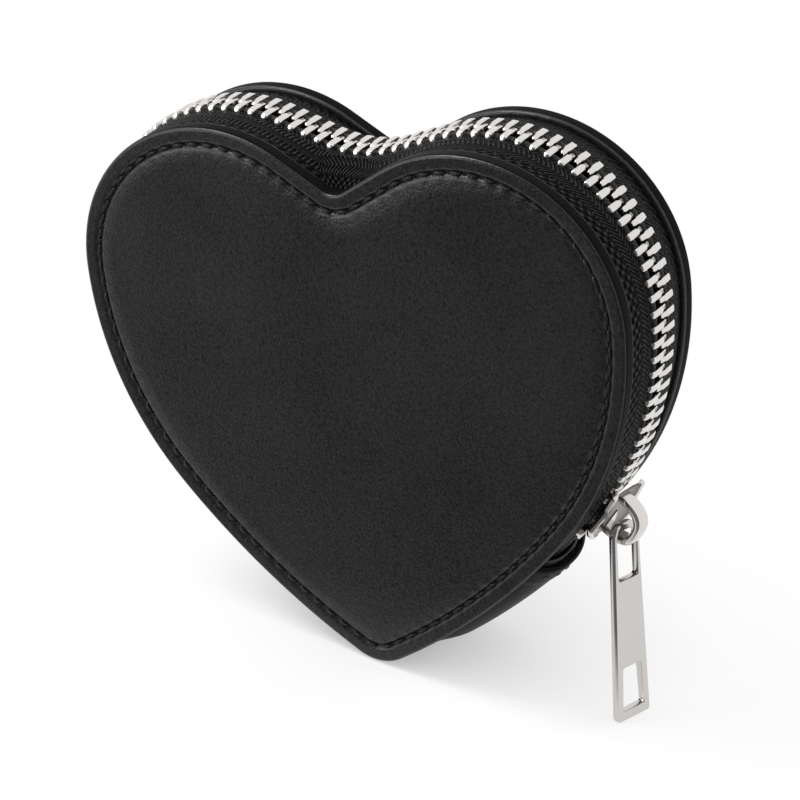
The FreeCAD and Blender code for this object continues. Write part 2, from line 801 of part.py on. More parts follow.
# Top stops: a clip round each corded edge, just past the slider's mouth
stop_place = slider_place - size("slider_mouth") - size("stop_gap") - size("stop_length") / 2
for side_name in SIDES:
    facing = facing_of(side_name)
    stop = body(side_name + "_top_stop")
    stop_sketch = sketch_on(stop, "section", role="YZ_Plane")
    stop_tall = size("stop_height") / 2
    stop_far = cord_near - fit + size("stop_width")
    stop_near = cord_near - fit - (size("stop_height") / 2 - slot_cord)
    stop_tall_name = "Sizes.stop_height / 2"
    stop_far_name = "Sizes.cord_inner_face - 2 * Sizes.tooth_fit + Sizes.stop_width"
    stop_near_name = (
        "Sizes.cord_inner_face - 2 * Sizes.tooth_fit"
        " - (Sizes.stop_height / 2 - Sizes.cord_height / 2 - Sizes.tooth_fit)"
    )
    corner_loop(
        stop_sketch,
        (
            ((stop_far, stop_far_name), (stop_tall, stop_tall_name)),
            ((stop_near, stop_near_name), (stop_tall, stop_tall_name)),
            ((stop_near, stop_near_name), (-stop_tall, stop_tall_name)),
            ((stop_far, stop_far_name), (-stop_tall, stop_tall_name)),
            ((stop_far, stop_far_name), (-slot_tape, slot_tape_name)),
            ((cord_far, cord_far_name), (-slot_tape, slot_tape_name)),
            ((cord_far, cord_far_name), (-slot_cord, slot_cord_name)),
            ((cord_near, cord_near_name), (-slot_cord, slot_cord_name)),
            ((cord_near, cord_near_name), (slot_cord, slot_cord_name)),
            ((cord_far, cord_far_name), (slot_cord, slot_cord_name)),
            ((cord_far, cord_far_name), (slot_tape, slot_tape_name)),
            ((stop_far, stop_far_name), (slot_tape, slot_tape_name)),
        ),
    )
    pad(stop, stop_sketch, "clip", "stop_length", middle=True)
    spot = station(stop_place, chain_inset, "zip")
    if facing < 0:
        spot = spot.multiply(Placement(Vector(0, 0, 0), Rotation(Vector(1, 0, 0), 180)))
    stop.Placement = spot
    subparts.append(stop)

# Gusset: a leather strip round the tip with a seam margin on each panel, and its lining
gusset = body("bottom_gusset")
gusset_outline = loops(gusset, "outline", None, (None,))
pad(gusset, gusset_outline, "block", "gusset_width", middle=True)
gusset_inside = loops(gusset, "inside", None, ("gusset_thickness",))
pocket(gusset, gusset_inside, "hollow", "gusset_hollow", middle=True)
gusset_margin = loops(gusset, "margin", None, ("seam_inner",))
pocket(gusset, gusset_margin, "margin_cut", "purse_depth", middle=True)
above(gusset, "upper_end", "gusset_top")
subparts.append(gusset)

gusset_lining = body("gusset_lining")
strip_outline = loops(gusset_lining, "section", None, ("lining_inset", "lining_back"))
pad(gusset_lining, strip_outline, "strip", "gusset_lining_width", middle=True)
above(gusset_lining, "upper_end", "gusset_top")
subparts.append(gusset_lining)

# Stitches across both ends of the gusset, lying on its outer face
gusset_path, gusset_at = closed_path(0.0, "panel")


def level_distance(level):
    """Distance from the tip along the outline to a height on the flank."""
    low = 0.0
    high = gusset_path / 4
    while high - low > size("wall_gap") / size("heart_width"):
        middle = (low + high) / 2
        if gusset_at(middle)[0][1] < level:
            low = middle
        else:
            high = middle
    return (low + high) / 2


end_distance = level_distance(size("gusset_top")) - size("gusset_stitch_drop")
end_count = int(size("gusset_stitch_count"))
end_threads = []
for distance in (end_distance, gusset_path - end_distance):
    point, heading = gusset_at(distance)
    outward = Vector(math.sin(heading), 0, -math.cos(heading))
    ahead = Vector(0, 1, 0)
    across = outward.cross(ahead)
    for index in range(end_count):
        depth = (index + 0.5 - end_count / 2) * size("stitch_pitch")
        matrix = FreeCAD.Matrix(
            ahead.x, across.x, outward.x, point[0],
            ahead.y, across.y, outward.y, depth,
            ahead.z, across.z, outward.z, point[1],
            0, 0, 0, 1,
        )
        placed = thread.copy()
        placed.Placement = Placement(matrix)
        end_threads.append(placed)
subparts.append(group("gusset_stitching", end_threads))

# Slider: two plates joined by a wedge, with lips that leave a slot for the tapes
slider = body("slider_body")
tail = size("slider_tail")
waist = size("slider_waist")
shoulder = size("slider_shoulder")
mouth = size("slider_mouth")
tail_half = size("slider_tail_width") / 2
shoulder_half = size("slider_shoulder_width") / 2
mouth_half = size("slider_mouth_width") / 2
tail_name = "Sizes.slider_tail"
waist_name = "Sizes.slider_waist"
shoulder_name = "Sizes.slider_shoulder"
mouth_name = "Sizes.slider_mouth"
tail_half_name = "Sizes.slider_tail_width / 2"
shoulder_half_name = "Sizes.slider_shoulder_width / 2"
mouth_half_name = "Sizes.slider_mouth_width / 2"
wedge_sketch = sketch_on(slider, "wedge_outline", role="XY_Plane")
wedge_half = size("wedge_width") / 2
wedge_half_name = "Sizes.wedge_width / 2"
corner_loop(
    wedge_sketch,
    (
        ((-size("wedge_tip"), "Sizes.wedge_tip"), (0.0, None)),
        ((-size("wedge_shoulder"), "Sizes.wedge_shoulder"), (wedge_half, wedge_half_name)),
        ((-mouth, mouth_name), (wedge_half, wedge_half_name)),
        ((-mouth, mouth_name), (-wedge_half, wedge_half_name)),
        ((-size("wedge_shoulder"), "Sizes.wedge_shoulder"), (-wedge_half, wedge_half_name)),
    ),
)
pad(slider, wedge_sketch, "wedge", "slider_height", middle=True)


def plate_outline(sketch):
    """Outline of a slider plate: narrow tail, wide shoulders, drawn in at the mouth."""
    corner_loop(
        sketch,
        (
            ((tail, tail_name), (tail_half, tail_half_name)),
            ((waist, waist_name), (tail_half, tail_half_name)),
            ((-shoulder, shoulder_name), (shoulder_half, shoulder_half_name)),
            ((-mouth, mouth_name), (mouth_half, mouth_half_name)),
            ((-mouth, mouth_name), (-mouth_half, mouth_half_name)),
            ((-shoulder, shoulder_name), (-shoulder_half, shoulder_half_name)),
            ((waist, waist_name), (-tail_half, tail_half_name)),
            ((tail, tail_name), (-tail_half, tail_half_name)),
        ),
    )


def lip_outline(sketch):
    """Outlines of the two lips along the plate's edges."""
    lip = size("slider_lip")
    for edge in (1, -1):
        corner_loop(
            sketch,
            (
                ((tail, tail_name), (edge * tail_half, tail_half_name)),
                ((waist, waist_name), (edge * tail_half, tail_half_name)),
                ((-shoulder, shoulder_name), (edge * shoulder_half, shoulder_half_name)),
                ((-mouth, mouth_name), (edge * mouth_half, mouth_half_name)),
                (
                    (-mouth, mouth_name),
                    (edge * (mouth_half - lip), mouth_half_name + " - Sizes.slider_lip"),
                ),
                (
                    (-shoulder, shoulder_name),
                    (edge * (shoulder_half - lip), shoulder_half_name + " - Sizes.slider_lip"),
                ),
                (
                    (waist, waist_name),
                    (edge * (tail_half - lip), tail_half_name + " - Sizes.slider_lip"),
                ),
                (
                    (tail, tail_name),
                    (edge * (tail_half - lip), tail_half_name + " - Sizes.slider_lip"),
                ),
            ),
        )


top_sketch = sketch_on(slider, "top_outline", "slider_plate_floor", "XY_Plane")
plate_outline(top_sketch)
pad(slider, top_sketch, "top_plate", "slider_plate")
bottom_sketch = sketch_on(slider, "bottom_outline", "-slider_plate_floor", "XY_Plane")
plate_outline(bottom_sketch)
pad(slider, bottom_sketch, "bottom_plate", "slider_plate", back=True)
top_lips = sketch_on(slider, "top_lips", "slider_lip_floor", "XY_Plane")
lip_outline(top_lips)
pad(slider, top_lips, "top_lip", "slider_lip_height")
bottom_lips = sketch_on(slider, "bottom_lips", "-slider_lip_floor", "XY_Plane")
lip_outline(bottom_lips)
lips = pad(slider, bottom_lips, "bottom_lip", "slider_lip_height", back=True)
top_level = size("slider_top")
near = size("wall_gap") / 2
top_rim = edges_at(lips.Shape, top_level - near, top_level + near, 2)
fillet(slider, "plate_edge", lips, top_rim, "slider_plate_round")
roll = Placement(Vector(0, 0, 0), Rotation(Vector(1, 0, 0), -size("slider_roll")))
slider_spot = station(slider_place, chain_inset, "zip").multiply(roll)
slider.Placement = slider_spot
subparts.append(slider)

# Crown: an arch on the top plate; the pull hangs in it
crown = body("slider_crown")
crown_sketch = sketch_on(crown, "section", role="XZ_Plane")


def bow(length_name, rise_name):
    """Centre height and radius of an arc over a length with a given rise from the plate."""
    half = size(length_name) / 2
    rise = size(rise_name)
    radius = (half ** 2 + rise ** 2) / (2 * rise)
    return half, size("slider_top") + rise - radius, radius


outer_half, outer_centre, outer_radius = bow("crown_length", "crown_rise")
hole_half, hole_centre, hole_radius = bow("crown_hole_length", "crown_hole_rise")
base_level = size("slider_top")
shift = size("crown_shift")
arcs = []
for half, centre, radius in (
    (outer_half, outer_centre, outer_radius),
    (hole_half, hole_centre, hole_radius),
):
    turn = math.atan2(base_level - centre, half)
    arcs.append(arc((-shift, centre), radius, turn, math.pi - turn))
crown_sketch.addGeometry(
    [
        arcs[0],
        segment((-outer_half - shift, base_level), (-hole_half - shift, base_level)),
        arcs[1],
        segment((hole_half - shift, base_level), (outer_half - shift, base_level)),
    ],
    False,
)
for joint in ((0, 2, 1, 1), (1, 2, 2, 2), (2, 1, 3, 1), (3, 2, 0, 1)):
    crown_sketch.addConstraint(Sketcher.Constraint("Coincident", *joint))
outer_name = "Sizes.crown_length / 2"
hole_name = "Sizes.crown_hole_length / 2"
shift_name = "Sizes.crown_shift"


def crown_rule(kind, first, second, amount, text):
    """One distance of the crown's sketch, from a point to a point, bound to the sheet."""
    at = crown_sketch.addConstraint(Sketcher.Constraint(kind, *first, *second, amount))
    crown_sketch.setExpression("Constraints[%d]" % at, text)


def crown_bow(piece, radius, length_name, rise_name):
    """The radius of one arc of the crown, from its length and its rise."""
    at = crown_sketch.addConstraint(Sketcher.Constraint("Radius", piece, radius))
    crown_sketch.setExpression(
        "Constraints[%d]" % at,
        "(pow(Sizes.%s / 2; 2) + pow(Sizes.%s; 2)) / (2 * Sizes.%s)"
        % (length_name, rise_name, rise_name),
    )


for foot in ((1, 1), (1, 2), (3, 1), (3, 2)):
    crown_rule("DistanceY", (-1, 1), foot, base_level, "Sizes.slider_top")
crown_rule("DistanceX", (1, 1), (-1, 1), outer_half + shift, outer_name + " + " + shift_name)
crown_rule("DistanceX", (-1, 1), (3, 2), outer_half - shift, outer_name + " - " + shift_name)
crown_rule("DistanceX", (1, 2), (-1, 1), hole_half + shift, hole_name + " + " + shift_name)
crown_rule("DistanceX", (-1, 1), (3, 1), hole_half - shift, hole_name + " - " + shift_name)
crown_bow(0, outer_radius, "crown_length", "crown_rise")
crown_bow(2, hole_radius, "crown_hole_length", "crown_hole_rise")
doc.recompute()
arch = pad(crown, crown_sketch, "arch", "crown_width", middle=True)
crown_half = size("crown_width") / 2
arch_edges = []
for index, edge in enumerate(arch.Shape.Edges, start=1):
    flat = abs(edge.BoundBox.YMax - edge.BoundBox.YMin) < near
    if flat and edge.BoundBox.ZMax > base_level + near:
        arch_edges.append("Edge%d" % index)
fillet(crown, "soft_edge", arch, arch_edges, "crown_round")
crown.Placement = slider_spot
subparts.append(crown)

# Pull: a tapered plate with a loop at the top and a window at the end, hanging in the crown
pull = body("zip_pull")
pull_sketch = sketch_on(pull, "outline", role="XZ_Plane")
bar_half = size("pull_bar") / 2
drop = size("pull_length") - bar_half
top_half = size("pull_top_width") / 2
end_half = size("pull_end_width") / 2
loop_half = size("pull_loop_width") / 2
loop_low = bar_half + size("pull_loop_length")
window_low = drop - size("pull_end_bar")
window_high = window_low - size("pull_window_length")
window_top = size("pull_window_top") / 2
window_end = size("pull_window_end") / 2
bar_name = "Sizes.pull_bar / 2"
drop_name = "Sizes.pull_length - Sizes.pull_bar / 2"
loop_low_name = "Sizes.pull_bar / 2 + Sizes.pull_loop_length"
window_low_name = drop_name + " - Sizes.pull_end_bar"
window_high_name = window_low_name + " - Sizes.pull_window_length"
corner_loop(
    pull_sketch,
    (
        ((-top_half, "Sizes.pull_top_width / 2"), (bar_half, bar_name)),
        ((top_half, "Sizes.pull_top_width / 2"), (bar_half, bar_name)),
        ((end_half, "Sizes.pull_end_width / 2"), (-drop, drop_name)),
        ((-end_half, "Sizes.pull_end_width / 2"), (-drop, drop_name)),
    ),
)
corner_loop(
    pull_sketch,
    (
        ((-loop_half, "Sizes.pull_loop_width / 2"), (-bar_half, bar_name)),
        ((loop_half, "Sizes.pull_loop_width / 2"), (-bar_half, bar_name)),
        ((loop_half, "Sizes.pull_loop_width / 2"), (-loop_low, loop_low_name)),
        ((-loop_half, "Sizes.pull_loop_width / 2"), (-loop_low, loop_low_name)),
    ),
)
corner_loop(
    pull_sketch,
    (
        ((-window_top, "Sizes.pull_window_top / 2"), (-window_high, window_high_name)),
        ((window_top, "Sizes.pull_window_top / 2"), (-window_high, window_high_name)),
        ((window_end, "Sizes.pull_window_end / 2"), (-window_low, window_low_name)),
        ((-window_end, "Sizes.pull_window_end / 2"), (-window_low, window_low_name)),
    ),
)
doc.recompute()
plate = pad(pull, pull_sketch, "plate", "pull_thickness", middle=True)
corner_edges = []
for index, edge in enumerate(plate.Shape.Edges, start=1):
    box = edge.BoundBox
    across = max(abs(box.XMin), abs(box.XMax))
    is_corner = box.YMax - box.YMin > near and across > max(window_end, loop_half) + near
    if is_corner:
        corner_edges.append("Edge%d" % index)
corners = fillet(pull, "round_corners", plate, corner_edges, "pull_corner")
pull_half = size("pull_thickness") / 2
face_edges = edges_at(corners.Shape, -pull_half - near, -pull_half + near, 1)
face_edges += edges_at(corners.Shape, pull_half - near, pull_half + near, 1)
fillet(pull, "soft_edge", corners, face_edges, "pull_round")
down = slider_spot.Rotation.inverted().multVec(Vector(0, 0, -1))
flat_down = Vector(down.x, 0, down.z)
flat_down.normalize()
hang = Vector(-shift, 0, hole_centre) + flat_down * size("pull_hang")
hang_point = slider_spot.multVec(hang)
pull_turn = Rotation(Vector(0, 0, 1), math.degrees(math.pi / 2) - size("pull_twist"))
pull_lean = Rotation(Vector(1, 0, 0), size("pull_lean"))
pull.Placement = Placement(hang_point, pull_turn.multiply(pull_lean))
subparts.append(pull)

# The frame's origin is the middle of the back face
to_origin = Placement(
    Vector(0, -size("half_depth"), -size("back_mount_height")), Rotation(Vector(0, 0, 1), 0)
)
for part in subparts:
    part.Placement = to_origin.multiply(part.Placement)

# Check and write
doc.recompute()
for thing in doc.Objects:
    if "Invalid" in thing.State or "Error" in thing.State:
        raise ValueError(thing.Name + " failed to build: " + str(thing.State))
for part in subparts:
    if part.Shape.isNull() or not part.Shape.isValid():
        raise ValueError(part.Label + " has no valid shape")

os.makedirs("parts", exist_ok=True)
for part in subparts:
    part.Shape.exportStep("parts/" + part.Label + ".step")
side_centre = centres("zip")["side"]
print("slider hinge", side_centre, "pull hinge", hang_point, "teeth", tooth_count)
for part in subparts:
    box = part.Shape.BoundBox
    print(
        "%-22s %3d solids %9.2f mm3  x %.2f %.2f  y %.2f %.2f  z %.2f %.2f"
        % (
            part.Label, len(part.Shape.Solids), part.Shape.Volume,
            box.XMin, box.XMax, box.YMin, box.YMax, box.ZMin, box.ZMax,
        )
    )
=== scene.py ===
# %% [markdown]
# # Heart shaped purse
# A small purse: two stiffened leather hearts, a metal zip round the upper wall, a leather gusset
# round the tip, a slider and its pull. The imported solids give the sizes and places. This lesson
# dresses them, one piece to a cell, as surfaces worked out from a few sizes in millimetres.

# %% Load the frame
import json
import math

import bpy
import numpy as np
from mathutils import Matrix, Vector
from mathutils.geometry import tessellate_polygon


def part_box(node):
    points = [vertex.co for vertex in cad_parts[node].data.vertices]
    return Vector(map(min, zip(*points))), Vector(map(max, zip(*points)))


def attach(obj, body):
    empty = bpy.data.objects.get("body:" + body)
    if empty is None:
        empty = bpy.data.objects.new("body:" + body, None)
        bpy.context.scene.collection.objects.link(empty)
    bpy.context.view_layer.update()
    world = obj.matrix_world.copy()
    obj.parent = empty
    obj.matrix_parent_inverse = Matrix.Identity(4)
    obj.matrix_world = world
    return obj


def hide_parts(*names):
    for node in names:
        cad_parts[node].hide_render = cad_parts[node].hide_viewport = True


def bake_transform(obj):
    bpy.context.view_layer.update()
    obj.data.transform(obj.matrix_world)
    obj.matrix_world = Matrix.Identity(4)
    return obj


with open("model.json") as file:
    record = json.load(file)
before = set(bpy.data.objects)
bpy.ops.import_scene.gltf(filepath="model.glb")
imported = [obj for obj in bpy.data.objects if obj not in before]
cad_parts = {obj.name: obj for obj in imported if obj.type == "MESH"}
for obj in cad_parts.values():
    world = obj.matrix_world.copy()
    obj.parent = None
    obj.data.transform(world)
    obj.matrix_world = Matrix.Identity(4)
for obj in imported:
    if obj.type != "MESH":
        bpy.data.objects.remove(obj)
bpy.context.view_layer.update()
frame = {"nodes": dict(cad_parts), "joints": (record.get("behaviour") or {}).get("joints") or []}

MM = 0.001


# %% [markdown]
# ## The heart's outline
# Cutting dies for hearts are drawn as tangent arcs, and so is this outline: a tip arc, a long flank,
# a side and a lobe on each half, then a straight run into a rounded notch. An inset outline keeps
# the same arc centres, so a point and its outward direction give every other line of the purse.

# %% Sizes of the outline
def box_of(node_name):
    """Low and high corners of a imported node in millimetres."""
    return np.array([list(corner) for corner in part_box(node_name)]) / MM


panel_low, panel_high = box_of("front_leather_panel")
heart_width = panel_high[0] - panel_low[0]
tip_level = panel_low[2]
front_inner = panel_high[1]
back_inner = box_of("back_leather_panel")[0, 1]
middle = (front_inner + back_inner) / 2
inner_face = (back_inner - front_inner) / 2
panel_depth = panel_high[1] - panel_low[1]

LOBE_RADIUS = 27.9
LOBE_HEIGHT = 67.9
SIDE_RADIUS = 59.6026
FLANK_RADIUS = 133.695
TIP_RADIUS = 8.0
PANEL_NOTCH = (3.8, math.radians(31.0))
ZIP_NOTCH = (22.0, math.radians(19.0))
SIDE_END = 3
print("heart", heart_width, "wide, walls", 2 * inner_face, "apart")


# %% Walk along the outline
def heart_runs(inset, notch):
    """Runs of the right half from tip to notch, as rows of length, centre, radius, start, turn, side.

    On an arc the angle grows by turn * distance / radius; a turn of zero is a straight run whose
    centre is its first point. The side is minus one where the arc's centre lies outside the heart.
    """
    notch_radius, slope = notch
    lobe = np.array((heart_width / 2 - LOBE_RADIUS, LOBE_HEIGHT))
    side = np.array((heart_width / 2 - SIDE_RADIUS, LOBE_HEIGHT))
    tip = np.array((0.0, TIP_RADIUS))
    across = tip - side
    span = np.hypot(*across)
    to_side = FLANK_RADIUS - SIDE_RADIUS
    to_tip = FLANK_RADIUS - TIP_RADIUS
    along = (to_side ** 2 - to_tip ** 2 + span ** 2) / (2 * span)
    away = math.sqrt(to_side ** 2 - along ** 2)
    flank = side + (along * across + away * np.array((across[1], -across[0]))) / span
    side_turn = math.atan2(*(side - flank)[::-1])
    tip_turn = math.atan2(*(tip - flank)[::-1])
    lobe_end = math.pi / 2 + slope
    facing = np.array((math.cos(lobe_end), math.sin(lobe_end)))
    start = lobe + (LOBE_RADIUS - inset) * facing
    apex = (lobe + LOBE_RADIUS * facing) @ facing / math.sin(lobe_end)
    notch_centre = (0.0, apex + notch_radius / math.cos(slope))
    hollow = notch_radius + inset
    foot = hollow * math.sin(slope)
    arcs = (
        (tip, TIP_RADIUS - inset, -math.pi / 2, tip_turn),
        (flank, FLANK_RADIUS - inset, tip_turn, side_turn),
        (side, SIDE_RADIUS - inset, side_turn, 0.0),
        (lobe, LOBE_RADIUS - inset, 0.0, lobe_end),
    )
    rows = [((end - begin) * r, *c, r, begin, 1.0, 1.0) for c, r, begin, end in arcs]
    rows.append(((start[0] - foot) / math.cos(slope), *start, 1.0, lobe_end, 0.0, 1.0))
    rows.append((slope * hollow, *notch_centre, hollow, slope - math.pi / 2, -1.0, -1.0))
    return np.array(rows)


def run_ends(inset, notch):
    """Distances from the tip, right half then left, at which the runs of an outline meet."""
    half = np.concatenate(([0.0], np.cumsum(heart_runs(inset, notch)[:, 0])))
    return np.concatenate((half, 2 * half[-1] - half[-2::-1]))


def outline(distance, inset=0.0, notch=PANEL_NOTCH):
    """Points and outward normals at distances from the tip: centre + radius * (cos a, sin a).

    The left half is the mirrored right half, walked back from the notch to the tip.
    """
    runs = heart_runs(inset, notch)
    ends = run_ends(inset, notch)
    whole = ends[-1]
    distance = np.mod(distance, whole)
    is_left = distance > whole / 2
    along = np.where(is_left, whole - distance, distance)
    index = np.clip(np.searchsorted(ends, along, side="right") - 1, 0, len(runs) - 1)
    _, centre_x, centre_z, radius, start, turn, side = runs[index].T
    gone = along - ends[index]
    angle = start + turn * gone / radius
    reach = np.where(turn == 0, 0.0, radius)
    gone = np.where(turn == 0, gone, 0.0)
    x = centre_x + reach * np.cos(angle) - gone * np.sin(start)
    z = centre_z + reach * np.sin(angle) + gone * np.cos(start)
    mirror = np.where(is_left, -1.0, 1.0)
    points = np.stack((mirror * x, z), -1)
    normals = np.stack((mirror * side * np.cos(angle), side * np.sin(angle)), -1)
    return points, normals


def distance_at(level, inset, notch):
    """Distance up the right half at which the outline reaches a height above the tip."""
    steps = np.linspace(0.0, run_ends(inset, notch)[SIDE_END], 4000)
    return float(np.interp(level, outline(steps, inset, notch)[0][:, 1], steps))


def place(flat, depth):
    """Points of the frame from (x, height) pairs and a y."""
    depth = np.broadcast_to(depth, flat.shape[:-1])
    return np.stack((flat[..., 0], depth, flat[..., 1] + tip_level), -1)


def upright(flat):
    """Directions of the frame from (x, height) pairs, with no depth."""
    return np.stack((flat[..., 0], np.zeros(flat.shape[:-1]), flat[..., 1]), -1)


def heading(out):
    """Directions along an outline from its outward normals: a quarter turn of each."""
    return upright(np.stack((-out[:, 1], out[:, 0]), -1))


def unit(vectors):
    """The same directions with a length of one."""
    return vectors / np.linalg.norm(vectors, axis=-1, keepdims=True)


print("outline", round(run_ends(0.0, PANEL_NOTCH)[-1], 1), "mm round")

# %% [markdown]
# ## From arrays to meshes
# Every new piece is an array of points and a few groups of faces. Small helpers join rings of points,
# close their ends, repeat a shape along a path and fill the mesh. The signed volume of a closed shape
# tells whether its faces point outwards.

# %% Mesh helpers
SHARP_ANGLE = math.radians(38.0)


def ring_faces(rows, columns):
    """Quads between closed rings of points: each joins a point to the next one and to the next ring."""
    row = np.arange(rows - 1)[:, None]
    column = np.arange(columns)[None, :]
    beside = (column + 1) % columns
    corners = ((row, column), (row + 1, column), (row + 1, beside), (row, beside))
    return np.stack([r * columns + c for r, c in corners], -1).reshape(-1, 4)


def tube_faces(rows, columns):
    """Quads of a closed section carried along an open path, with a cap at each end."""
    first = np.arange(columns)[None, :]
    last = first[:, ::-1] + (rows - 1) * columns
    return [ring_faces(rows, columns), first, last]


def facing_out(points, faces):
    """Faces of a closed shape, turned over where its signed volume is negative.

    The volume is the sum of a . (b x c) / 6 over fans of triangles.
    """
    total = 0.0
    for group in faces:
        for corner in range(1, group.shape[1] - 1):
            a, b, c = (points[group[:, k]] for k in (0, corner, corner + 1))
            total += np.einsum("ij,ij->", a, np.cross(b, c)) / 6
    return [group[:, ::-1] for group in faces] if total < 0 else faces


def repeated(shape, faces, origins, axes):
    """Copies of a small shape: origin + x * ahead + y * across + z * up, one row of axes to a copy."""
    points = origins[:, None, :] + np.einsum("nj,kji->kni", shape, axes)
    steps = np.arange(len(origins))[:, None, None] * len(shape)
    groups = [(group[None] + steps).reshape(-1, group.shape[1]) for group in faces]
    return points.reshape(-1, 3), groups


def make(name, points, faces, material, uv=None, closed=True, other=None, other_faces=()):
    """A new piece at the origin from points in millimetres, smooth where it turns gently.

    The faces whose flag in other_faces is set take the other material.
    """
    if closed:
        faces = facing_out(points, faces)
    mesh = bpy.data.meshes.new(name)
    mesh.from_pydata((points * MM).tolist(), [], [face for group in faces for face in group.tolist()])
    if uv is not None:
        corner = np.zeros(len(mesh.loops), np.int32)
        mesh.loops.foreach_get("vertex_index", corner)
        mesh.uv_layers.new(name="flat").data.foreach_set("uv", uv[corner].astype(np.float32).ravel())
    mesh.shade_smooth()
    mesh.set_sharp_from_angle(angle=SHARP_ANGLE)
    mesh.materials.append(material)
    if other is not None:
        mesh.materials.append(other)
        mesh.polygons.foreach_set("material_index", np.asarray(other_faces, np.int32))
    piece = bpy.data.objects.new(name, mesh)
    bpy.context.scene.collection.objects.link(piece)
    print(name, len(points), "points", len(mesh.polygons), "faces")
    return piece


def make_tube(name, points, material, uv=None):
    """A piece from rows of points, where each row is a closed section."""
    return make(name, points.reshape(-1, 3), tube_faces(*points.shape[:2]), material, uv)


def seat(piece, body, slot, *nodes):
    """The piece rides on a body and stands for some nodes; the slot is not used."""
    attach(piece, body)
    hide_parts(*nodes)


# %% [markdown]
# ## Materials
# Each finish starts from the real one. One function turns a written colour to linear light, and one
# adds a node with its settings and links. The helpers after them stand for what most finishes share:
# waves of a pitch, a slow haze and a relief with painted shade and sheen. Patterns are sized from real
# millimetres.

# %% Node helpers
NOISE_RANGE = (0.3, 0.7)


def colour(text, alpha=1.0):
    """Linear colour of an sRGB hex value: ((c + 0.055) / 1.055) ** 2.4 above the dark end."""
    channels = np.array([int(text[k:k + 2], 16) for k in (1, 3, 5)]) / 255
    linear = np.where(channels <= 0.04045, channels / 12.92, ((channels + 0.055) / 1.055) ** 2.4)
    return (*linear, alpha)


def node(tree, kind, inputs=(), **settings):
    """Add one node, set its properties, and give its sockets values or links."""
    made = tree.nodes.new("ShaderNode" + kind)
    for name, value in settings.items():
        setattr(made, name, value)
    for socket, value in dict(inputs).items():
        if isinstance(value, bpy.types.NodeSocket):
            tree.links.new(value, made.inputs[socket])
        else:
            made.inputs[socket].default_value = value
    return made


def finish(name, **shader):
    """A new material with a principled surface; returns it with its tree and its shader node."""
    material = bpy.data.materials.new(name)
    material.use_nodes = True
    tree = material.node_tree
    surface = tree.nodes["Principled BSDF"]
    for socket, value in shader.items():
        surface.inputs[socket.replace("_", " ")].default_value = value
    return material, tree, surface


def waves(tree, amount, pitch):
    """Sine of a length in millimetres with a given pitch."""
    turned = node(tree, "Math", {0: amount, 1: 2 * math.pi / pitch}, operation="MULTIPLY")
    return node(tree, "Math", {0: turned.outputs[0]}, operation="SINE").outputs[0]


def per_metre(width):
    """Texture scale that gives a pattern of a width in millimetres on metre coordinates."""
    return 1 / (width * MM)


def haze(tree, surface, coords, width, detail, span):
    """Vary a surface's roughness slowly over a span, in blotches of a width in millimetres."""
    blotches = node(tree, "TexNoise", {"Vector": coords, "Scale": per_metre(width), "Detail": detail})
    rough = node(tree, "MapRange", {
        "Value": blotches.outputs["Fac"],
        "From Min": NOISE_RANGE[0],
        "From Max": NOISE_RANGE[1],
        "To Min": span[0],
        "To Max": span[1],
    })
    tree.links.new(rough.outputs[0], surface.inputs["Roughness"])


def relief(tree, surface, height, levels, shades, strength, depth):
    """Shade a surface from dark to light between two levels of a height, and raise it as a bump.

    Its low parts take the dark colour, painted shade, and its high parts the light one, painted sheen;
    on foam and board the flecks are also the body's own tone. The depth of the bump is in millimetres.
    """
    lit = node(tree, "MapRange", {"Value": height, "From Min": levels[0], "From Max": levels[1]})
    dark, light = (colour(shade) for shade in shades)
    shaded = node(tree, "Mix", {0: lit.outputs[0], 6: dark, 7: light}, data_type="RGBA")
    bump = node(tree, "Bump", {"Height": height, "Strength": strength, "Distance": depth * MM})
    tree.links.new(shaded.outputs[2], surface.inputs["Base Color"])
    tree.links.new(bump.outputs[0], surface.inputs["Normal"])


# %% [markdown]
# ### Grained leather
# Coated split leather, embossed with a fine pebble grain and then wiped to a soft sheen. The grain
# breaks the highlight into a dull glow. It is drawn with cells about as wide as the real pebbles.

# %% Leather
PEBBLE_WIDTH = 0.36
PEBBLE_SINK = -1.1
CREASE_WIDTH = 0.7
CREASE_DETAIL = 4.0
WIPE_WIDTH = 26.0
WIPE_DETAIL = 2.0
WIPE_SPREAD = (-0.05, 0.06)
GRAIN_DEPTH = 0.045
GRAIN_STRENGTH = 0.8
GRAIN_RANGE = (-0.35, 0.45)


def leather(name, pore, ridge, dull, shine):
    """Black leather: small cells for the pebbles, drawn noise for creases, slow noise for the sheen."""
    material, tree, surface = finish(name, Specular_IOR_Level=shine)
    coords = node(tree, "TexCoord").outputs["Object"]
    pebbles = node(tree, "TexVoronoi", {"Vector": coords, "Scale": per_metre(PEBBLE_WIDTH)},
                   feature="SMOOTH_F1").outputs["Distance"]
    creases = node(tree, "TexNoise", {"Vector": coords, "Scale": per_metre(CREASE_WIDTH),
                                      "Detail": CREASE_DETAIL}).outputs["Fac"]
    grain = node(tree, "Math", {0: pebbles, 1: PEBBLE_SINK, 2: creases},
                 operation="MULTIPLY_ADD").outputs[0]
    # The grain's low crevices take the dark pore colour and the pebble tops the lighter ridge colour:
    # painted shade in crevices and creases, painted sheen on the tops.
    relief(tree, surface, grain, GRAIN_RANGE, (pore, ridge), GRAIN_STRENGTH, GRAIN_DEPTH)
    haze(tree, surface, coords, WIPE_WIDTH, WIPE_DETAIL, [dull + spread for spread in WIPE_SPREAD])
    return material


panel_leather = leather("grained_leather", "#060606", "#222122", 0.32, 0.42)
